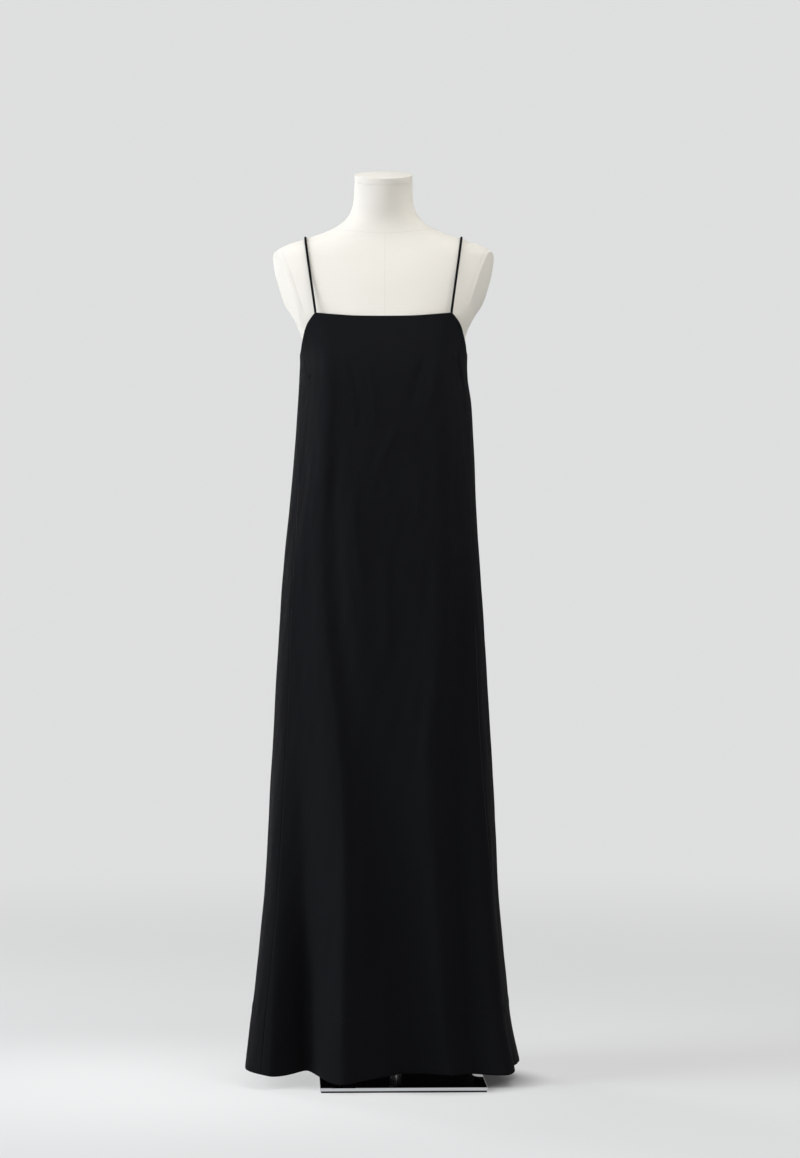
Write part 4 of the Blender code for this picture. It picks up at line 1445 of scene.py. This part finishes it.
# --- Straps ----------------------------------------------------------------------------------
@dataclass
class StrapPair:
    """Two rouleau straps that run from the front corners over the shoulders to the back corners."""

    drape: Drape
    skin: FormSkin
    radius: float = 0.002
    sides: int = 16
    shoulder_x: float = 0.1365
    crown_start: float = 1.60
    crown_drop: float = 0.0002
    clearance: float = 0.0003
    foot: float = 0.003
    foot_sink: float = 0.0004
    skin_points: int = 46
    route_points: int = 150
    cloth_thick: float = 0.0015
    seam: RoundCord = RoundCord(0.00035, 6)
    seam_place: float = 0.93
    tack: Stitches = Stitches(pitch=0.0011, length=0.0014, thread=0.0004)
    tack_turns: int = 2
    tack_points: int = 40
    tack_off: float = 0.0002
    tack_low: float = 0.0006
    tack_rise: float = 0.0009

    def end(self, turn: float) -> Array:
        """Where a strap meets the top edge.

        Args:
            turn: The turn of its corner.

        Returns:
            The point in the middle of the cloth's edge.
        """
        at = np.array(turn)
        height = self.drape.top(at)
        return self.drape.base(at, height) - self.drape.outward(at, height) * self.cloth_thick / 2

    def climb(self, end: Array, side: Side, crown: float) -> list[Array]:
        """The skin under a strap from its end up to the shoulder.

        Args:
            end: The strap's end.
            side: The front or the back.
            crown: The shoulder's height.

        Returns:
            Points on the skin.
        """
        line = []
        for k in range(self.skin_points):
            rise = math.sin(math.pi / 2 * k / self.skin_points)
            height = end[2] + (crown - self.crown_drop - end[2]) * rise
            x = math.copysign(abs(end[0]) + (self.shoulder_x - abs(end[0])) * rise, end[0])
            line.append(self.skin.level_hit(x, side, float(height)))
        return line

    def taut(self, points: list[Array]) -> list[Array]:
        """The points that a strap still touches when it is pulled taut, seen from the side.

        Args:
            points: Points from one end over the shoulder to the other end.

        Returns:
            The points that are left.
        """
        kept: list[Array] = []
        for point in points:
            while len(kept) > 1:
                step, onward = kept[-1] - kept[-2], point - kept[-2]
                if step[1] * onward[2] < step[2] * onward[1]:
                    break
                kept.pop()
            kept.append(point)
        return kept

    def route(self, hand: Hand) -> Array:
        """A strap's middle line from its front end to its back end.

        Args:
            hand: Which strap.

        Returns:
            Points at even distances.
        """
        first, last = self.end(hand.value * FRONT_CORNER_TURN), self.end(hand.value * BACK_CORNER_TURN)
        crown_x = hand.value * self.shoulder_x
        crown = float(self.skin.hit((crown_x, 0.0, self.crown_start), (0, 0, -1))[2])
        front, back = self.climb(first, Side.FRONT, crown), self.climb(last, Side.BACK, crown)
        skin = [*front, np.array([crown_x, 0.0, crown]), *back[::-1]]
        over = []
        for before, point, after in zip(skin, skin[1:], skin[2:]):
            along = after - before
            away = unit(np.array([0.0, -along[2], along[1]]))
            over.append(point + away * (self.radius + self.clearance))
        rise = np.array([0.0, 0.0, self.foot])
        sink = np.array([0.0, 0.0, self.foot_sink])
        route = np.array([first - sink, *self.taut([first + rise, *over, last + rise]), last - sink])
        lengths = np.concatenate([[0], np.cumsum(np.linalg.norm(np.diff(route, axis=0), axis=1))])
        even = np.linspace(0, lengths[-1], self.route_points)
        return np.stack([np.interp(even, lengths, route[:, k]) for k in range(3)], axis=-1)

    def coil(self, end: Array) -> Array:
        """The route of the tacking stitches round a strap's foot.

        Args:
            end: The strap's end.

        Returns:
            Points on a short coil.
        """
        share = np.linspace(0, 1, self.tack_points)
        angle = share * self.tack_turns * 2 * math.pi
        reach = self.radius + self.tack_off
        rise = self.tack_low + self.tack_rise * share
        return end + np.stack([np.cos(angle) * reach, np.sin(angle) * reach, rise], axis=-1)

    def build(self, cloth: bpy.types.Material, thread: bpy.types.Material) -> list[bpy.types.Object]:
        """Makes the straps, the seam along the inside of each and the stitches at their feet.

        Args:
            cloth: The cloth on the bias.
            thread: The thread.

        Returns:
            The pieces, the two straps first.
        """
        straps, sewing = [], []
        for hand in Hand:
            name = f"strap_{hand.label}"
            route = self.route(hand)
            strap = RoundCord(self.radius, self.sides).lay(f"{name}_rouleau", route, cloth)
            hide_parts(name)
            straps.append(strap)
            inwards = np.array([-hand.value * self.radius * self.seam_place, 0.0, 0.0])
            sewing.append(self.seam.lay(f"{name}_seam", route[2:-2] + inwards, cloth))
            for side, end in ((Side.FRONT, route[0]), (Side.BACK, route[-1])):
                sewing.append(self.tack.sew(f"{name}_{side.value}_tack", self.coil(end), thread))
        return [*straps, *sewing]


# --- Dress -----------------------------------------------------------------------------------
@dataclass
class SlipDress:
    """The dress: two panels, two straps and the sewing that holds them."""

    drape: Drape = Drape()
    cloth: Crepe = Crepe("black_crepe")
    bias_cloth: Crepe = Crepe("black_crepe_bias", uv=False)
    # A lighter crepe for the cord on the right seam: a painted highlight of the seam's edge.
    painted_highlight_cloth: Crepe = Crepe("seam_edge_painted_highlight", (0.0260, 0.0265, 0.0275), uv=False)
    thread: Thread = Thread("black_thread", (0.014, 0.014, 0.015))
    hem_stitches: Stitches = Stitches(pitch=0.0085, length=0.0016, thread=0.00030, unevenness=0.35)
    seam_stitches: Stitches = Stitches(pitch=0.0028, length=0.0022, thread=0.00022, unevenness=0.12)
    stitch_lift: float = 0.00005
    seam_top: float = 1.2560
    seam_foot: float = 0.034
    seam_points: int = 400
    hem_points: int = 900
    painted_highlight_cord: RoundCord = RoundCord(0.00065)
    painted_highlight_from: int = 150

    def on_cloth(self, turn: Array, height: Array) -> Array:
        """Points on the creased cloth, where stitches lie."""
        push = self.drape.relief(wrapped(turn), height) + self.stitch_lift
        return self.drape.base(turn, height) + self.drape.outward(turn, height) * push[:, None]

    def seam_path(self, hand: Hand) -> Array:
        """A side seam from the armhole to the hem."""
        height = np.linspace(self.seam_top, self.seam_foot, self.seam_points)
        return self.on_cloth(SIDE_SEAMS.at(height, hand.label), height)

    def hem_path(self) -> Array:
        """The line of the hem's blind stitches, all round."""
        turn = np.linspace(-180, 180, self.hem_points, endpoint=False)
        return self.on_cloth(turn, self.drape.hem_line(turn))

    def sew(self, thread: bpy.types.Material) -> list[bpy.types.Object]:
        """Sews the hem and the side seams, and lays a cord of lighter crepe along the right seam's lower
        part as a painted highlight.

        Args:
            thread: The thread.

        Returns:
            The sewn pieces.
        """
        sewing = [self.hem_stitches.sew("hem_blind_stitches", self.hem_path(), thread, loop=True)]
        for hand in Hand:
            name = f"side_seam_{hand.label}_stitches"
            sewing.append(self.seam_stitches.sew(name, self.seam_path(hand), thread))
        # Painted highlight: a thin cord in lighter crepe along the lower right seam.
        edge = self.seam_path(Hand.RIGHT)[self.painted_highlight_from:]
        sewing.append(self.painted_highlight_cord.lay("side_seam_right_edge", edge, self.painted_highlight_cloth.make()))
        return sewing

    def build(self, skin: FormSkin) -> list[bpy.types.Object]:
        """Makes the dress.

        Args:
            skin: The form that it hangs on.

        Returns:
            All its pieces.
        """
        cloth, thread = self.cloth.make(), self.thread.make()
        front, back = (ClothPanel(side, self.drape).build(cloth) for side in Side)
        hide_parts("dress_front")
        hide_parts("dress_back")
        straps = StrapPair(self.drape, skin).build(self.bias_cloth.make(), thread)
        sewing = [*straps, *self.sew(thread)]
        return [front, back, *sewing]


# --- Form and stand --------------------------------------------------------------------------
@dataclass
class DressForm:
    """The limbless form: its jersey cover and the raised seams of the cover, whose darker jersey is painted
    shade of their grooves.
    """

    skin: FormSkin
    cover: Jersey = Jersey("cream_jersey")
    # The seams' jersey is darker than the cover: painted shade of the seam grooves, over real raised cords.
    seam_jersey_painted_shade: Jersey = Jersey("cover_seam", (0.70, 0.67, 0.61))
    seam: RoundCord = RoundCord(0.00042)
    seam_sink: float = 0.00022
    centre_x: float = 0.0027
    centre_points: int = 140
    front_levels: tuple[float, float] = (1.262, 1.4755)
    back_levels: tuple[float, float] = (1.240, 1.5025)
    neck_points: int = 160
    neck_height: float = 1.4895
    neck_rise: float = 0.0135
    sharp_from: float = math.radians(50)

    def centre_seam(self, side: Side, low: float, high: float) -> Array:
        """The seam down the middle of the front or the back.

        Args:
            side: The front or the back.
            low: Where it ends.
            high: Where it starts.

        Returns:
            Points on the cover.
        """
        heights = np.linspace(high, low, self.centre_points)
        path = np.array([self.skin.level_hit(self.centre_x, side, float(height)) for height in heights])
        return path + np.array([0.0, -side.facing * self.seam_sink, 0.0])

    def neck_seam(self) -> Array:
        """The seam round the base of the neck, higher at the back.

        Returns:
            Points on the cover.
        """
        path = []
        for angle in np.linspace(-math.pi, math.pi, self.neck_points, endpoint=False):
            height = self.neck_height - self.neck_rise * math.cos(angle)
            way = np.array([math.sin(angle), -math.cos(angle), 0.0])
            start = way * self.skin.outside + np.array([0.0, 0.0, height])
            path.append(self.skin.hit(start, -way) - way * self.seam_sink)
        return np.array(path)

    def build(self) -> list[bpy.types.Object]:
        """Makes the form's skins and lays the seams of their cover.

        Returns:
            The pieces.
        """
        jersey = self.cover.make()
        seam_painted_shade_cloth = self.seam_jersey_painted_shade.make()
        pieces = []
        for name, mesh in self.skin.skins.items():
            skin = new_object(f"{name}_skin", mesh, jersey)
            skin.data.set_sharp_from_angle(angle=self.sharp_from)
            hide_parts(name)
            pieces.append(skin)
        front = self.centre_seam(Side.FRONT, *self.front_levels)
        back = self.centre_seam(Side.BACK, *self.back_levels)
        pieces.append(self.seam.lay("cover_seam_front", front, seam_painted_shade_cloth))
        pieces.append(self.seam.lay("cover_seam_back", back, seam_painted_shade_cloth))
        pieces.append(self.seam.lay("cover_seam_neck", self.neck_seam(), seam_painted_shade_cloth, loop=True))
        return pieces


@dataclass
class Stand:
    """The mirror-polished plate on its pad, the pole and the flange."""

    mirror: Steel = Steel("plate_mirror", roughness=(0.02, 0.07), line_pitch=0.0030)
    tube: Steel = Steel("pole_satin", (0.66, 0.67, 0.68), roughness=(0.13, 0.17))
    rubber: Rubber = Rubber("pad_rubber")

    def build(self) -> None:
        """Dresses the stand's solids."""
        tube = self.tube.make()
        finishes = {
            "base_plate": self.mirror.make(),
            "pole": tube,
            "pole_flange": tube,
            "base_pad": self.rubber.make(),
        }
        for name, finish in finishes.items():
            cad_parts[name].data.materials.clear()
            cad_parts[name].data.materials.append(finish)


# --- Studio ----------------------------------------------------------------------------------
@dataclass(frozen=True)
class SoftLight:
    """A rectangular soft light, with a grid in front where its spread is below 180 degrees."""

    name: str
    place: Triple
    target: Triple
    size: tuple[float, float]
    watts: float
    tint: Triple = (1.0, 1.0, 1.0)
    spread: float = 180.0

    def hang(self) -> None:
        """Puts the light in the scene."""
        light = bpy.data.lights.new(self.name, "AREA")
        light.shape = "RECTANGLE"
        light.size, light.size_y = self.size
        light.energy = self.watts
        light.color = self.tint
        light.spread = math.radians(self.spread)
        lamp = bpy.data.objects.new(self.name, light)
        bpy.context.scene.collection.objects.link(lamp)
        lamp.location = self.place
        lamp.rotation_euler = (Vector(self.target) - Vector(self.place)).to_track_quat("-Z", "Y").to_euler()


@dataclass(frozen=True)
class Pool:
    """A soft round spot on the floor that fades between two distances from its centre; used for the floor's
    painted pool of light and its painted shadow.
    """

    centre: tuple[float, float]
    near: float
    far: float

    def share(self, paint: Paint, where: Socket) -> Socket:
        """How much of the spot is at a place: 1 inside it, 0 outside.

        Args:
            paint: The floor's material.
            where: The place on the floor.

        Returns:
            The socket of the share.
        """
        inputs = {0: where, 1: (*self.centre, 0.0)}
        away = paint.node("ShaderNodeVectorMath", inputs, operation="DISTANCE").outputs["Value"]
        return paint.fade(away, self.near, self.far)


COOL = (0.965, 1.0, 1.07)
WARM = (1.01, 1.0, 0.97)
PLAIN = (1.0, 1.0, 1.0)
BLACK = (0.0, 0.0, 0.0)


@dataclass
class Studio:
    """A pale floor that fades into a plain dome all round, soft lights and the camera."""

    distance: float = 6.0
    camera_x: float = 0.029
    camera_height: float = 0.876
    metres_per_dot: float = 0.00175
    image_height: int = 1158
    sensor: float = 36.0
    sight: float = 100.0
    floor_radius: float = 14.0
    dome_radius: float = 14.28
    near_paper: float = 1.2
    far_paper: float = 4.5
    paper: Triple = (0.34, 0.34, 0.34)
    paper_glow: float = 0.428
    # Painted light and painted shadow on the floor: a lighter glowing pool beside the stand, and the glow
    # dimmed to a painted shadow under it.
    painted_light_beside: float = 0.110
    painted_shadow_under: float = 0.08
    beside: Pool = Pool((-0.36, -0.06), 0.10, 0.85)
    under: Pool = Pool((0.10, 0.0), 0.100, 0.205)
    grain: float = 1.5
    grain_levels: tuple[float, float] = (0.97, 1.03)
    air: Triple = (0.729, 0.740, 0.735)
    fill: Triple = (0.765, 0.76, 0.75)
    fill_strength: float = 0.55
    lights: tuple[SoftLight, ...] = (
        SoftLight("key", (-4.2, -2.0, 2.9), (0.0, 0.0, 0.9), (2.4, 2.4), 124.0, COOL),
        SoftLight("side", (-4.6, -0.9, 1.5), (0.0, 0.0, 1.1), (1.6, 2.4), 75.0, COOL),
        SoftLight("top", (0.9, -1.6, 3.7), (0.0, 0.0, 1.40), (1.6, 1.6), 38.0),
        SoftLight("shoulder", (3.0, -1.8, 2.3), (0.15, 0.0, 1.42), (0.8, 0.8), 0.4, WARM, 20.0),
        SoftLight("back", (-2.8, 3.4, 1.7), (0.0, 0.0, 0.50), (1.4, 1.8), 4.0, PLAIN, 30.0),
    )

    def floor_finish(self) -> bpy.types.Material:
        """Paper that glows a little, with a painted pool of light beside the stand and a painted shadow
        under it, and fades into the air.

        Returns:
            The material.
        """
        paint = Paint("studio_paper")
        where = paint.place()
        out = paint.node("ShaderNodeVectorMath", {0: where}, operation="LENGTH").outputs["Value"]
        near = paint.fade(out, self.near_paper, self.far_paper)
        # Painted light beside the stand and painted shadow under it, both worked into the floor's glow.
        beside = paint.maths("MULTIPLY", self.beside.share(paint, where), self.painted_light_beside)
        under = paint.spread(self.under.share(paint, where), 1.0, self.painted_shadow_under)
        level = paint.maths("MULTIPLY", paint.maths("ADD", self.paper_glow, beside), under)
        grain = paint.spread(paint.noise(where, self.grain), *self.grain_levels)
        colour = paint.mix(paint.maths("MULTIPLY", near, grain), BLACK, self.paper)
        paint.wear(colour, roughness=0.9, Specular_IOR_Level=0.0)
        glow_with_painted_pools = paint.mix(level, BLACK, tuple(part / self.air[1] for part in self.air))
        glow = paint.mix(near, self.air, BLACK)
        paint.tree.links.new(glow_with_painted_pools, glow.node.inputs[7])
        paint.tree.links.new(glow, paint.surface.inputs["Emission Color"])
        paint.surface.inputs["Emission Strength"].default_value = 1.0
        return paint.material

    def floor(self) -> bpy.types.Object:
        """Makes the floor.

        Returns:
            The floor.
        """
        work = bmesh.new()
        bmesh.ops.create_circle(work, cap_ends=True, segments=96, radius=self.floor_radius)
        mesh = bpy.data.meshes.new("studio_floor")
        work.to_mesh(mesh)
        work.free()
        floor = new_object("studio_floor", mesh, self.floor_finish())
        floor.visible_diffuse = False
        return floor

    def dome(self) -> bpy.types.Object:
        """Makes the plain pale dome, which the camera alone sees, so it neither lights nor shades.

        Returns:
            The dome.
        """
        work = bmesh.new()
        bmesh.ops.create_uvsphere(work, u_segments=64, v_segments=32, radius=self.dome_radius)
        mesh = bpy.data.meshes.new("studio_dome")
        work.to_mesh(mesh)
        work.free()
        paint = Paint("studio_air_tone")
        paint.wear((*BLACK, 1.0), roughness=1.0, Specular_IOR_Level=0.0, Emission_Strength=1.0)
        paint.surface.inputs["Emission Color"].default_value = (*self.air, 1.0)
        dome = new_object("studio_dome", mesh, paint.material)
        dome.visible_diffuse = dome.visible_glossy = dome.visible_shadow = dome.visible_transmission = False
        return dome

    def fill_light(self) -> None:
        """Fills the room with even light."""
        world = bpy.data.worlds.new("studio_air")
        world.use_nodes = True
        background = world.node_tree.nodes["Background"]
        background.inputs["Color"].default_value = (*self.fill, 1.0)
        background.inputs["Strength"].default_value = self.fill_strength
        bpy.context.scene.world = world

    def camera(self) -> None:
        """Sets up the camera, level and square to the front."""
        lens = bpy.data.cameras.new("camera")
        lens.sensor_width = self.sensor
        lens.sensor_fit = "AUTO"
        lens.lens = self.distance / self.metres_per_dot * self.sensor / self.image_height
        lens.clip_end = self.sight
        camera = bpy.data.objects.new("camera", lens)
        bpy.context.scene.collection.objects.link(camera)
        camera.location = (self.camera_x, -self.distance, self.camera_height)
        camera.rotation_euler = (math.radians(90), 0.0, 0.0)
        bpy.context.scene.camera = camera

    def build(self) -> None:
        """Makes the studio."""
        self.floor()
        self.dome()
        self.fill_light()
        bpy.context.scene.view_settings.view_transform = "Standard"
        for light in self.lights:
            light.hang()
        self.camera()


def main() -> None:
    """Builds the looks piece by piece and fixes each to the frame."""
    logging.basicConfig(level=logging.INFO, format="%(name)s: %(message)s")
    skin = FormSkin()
    slots = {"black_cloth": SlipDress().build(skin), "cotton_cover": DressForm(skin).build()}
    Stand().build()
    for slot, pieces in slots.items():
        for piece in pieces:
            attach(piece, BODY)
            LOG.info("%s: %d faces", piece.name, len(piece.data.polygons))
    Studio().build()


if __name__ == "__main__":
    main()
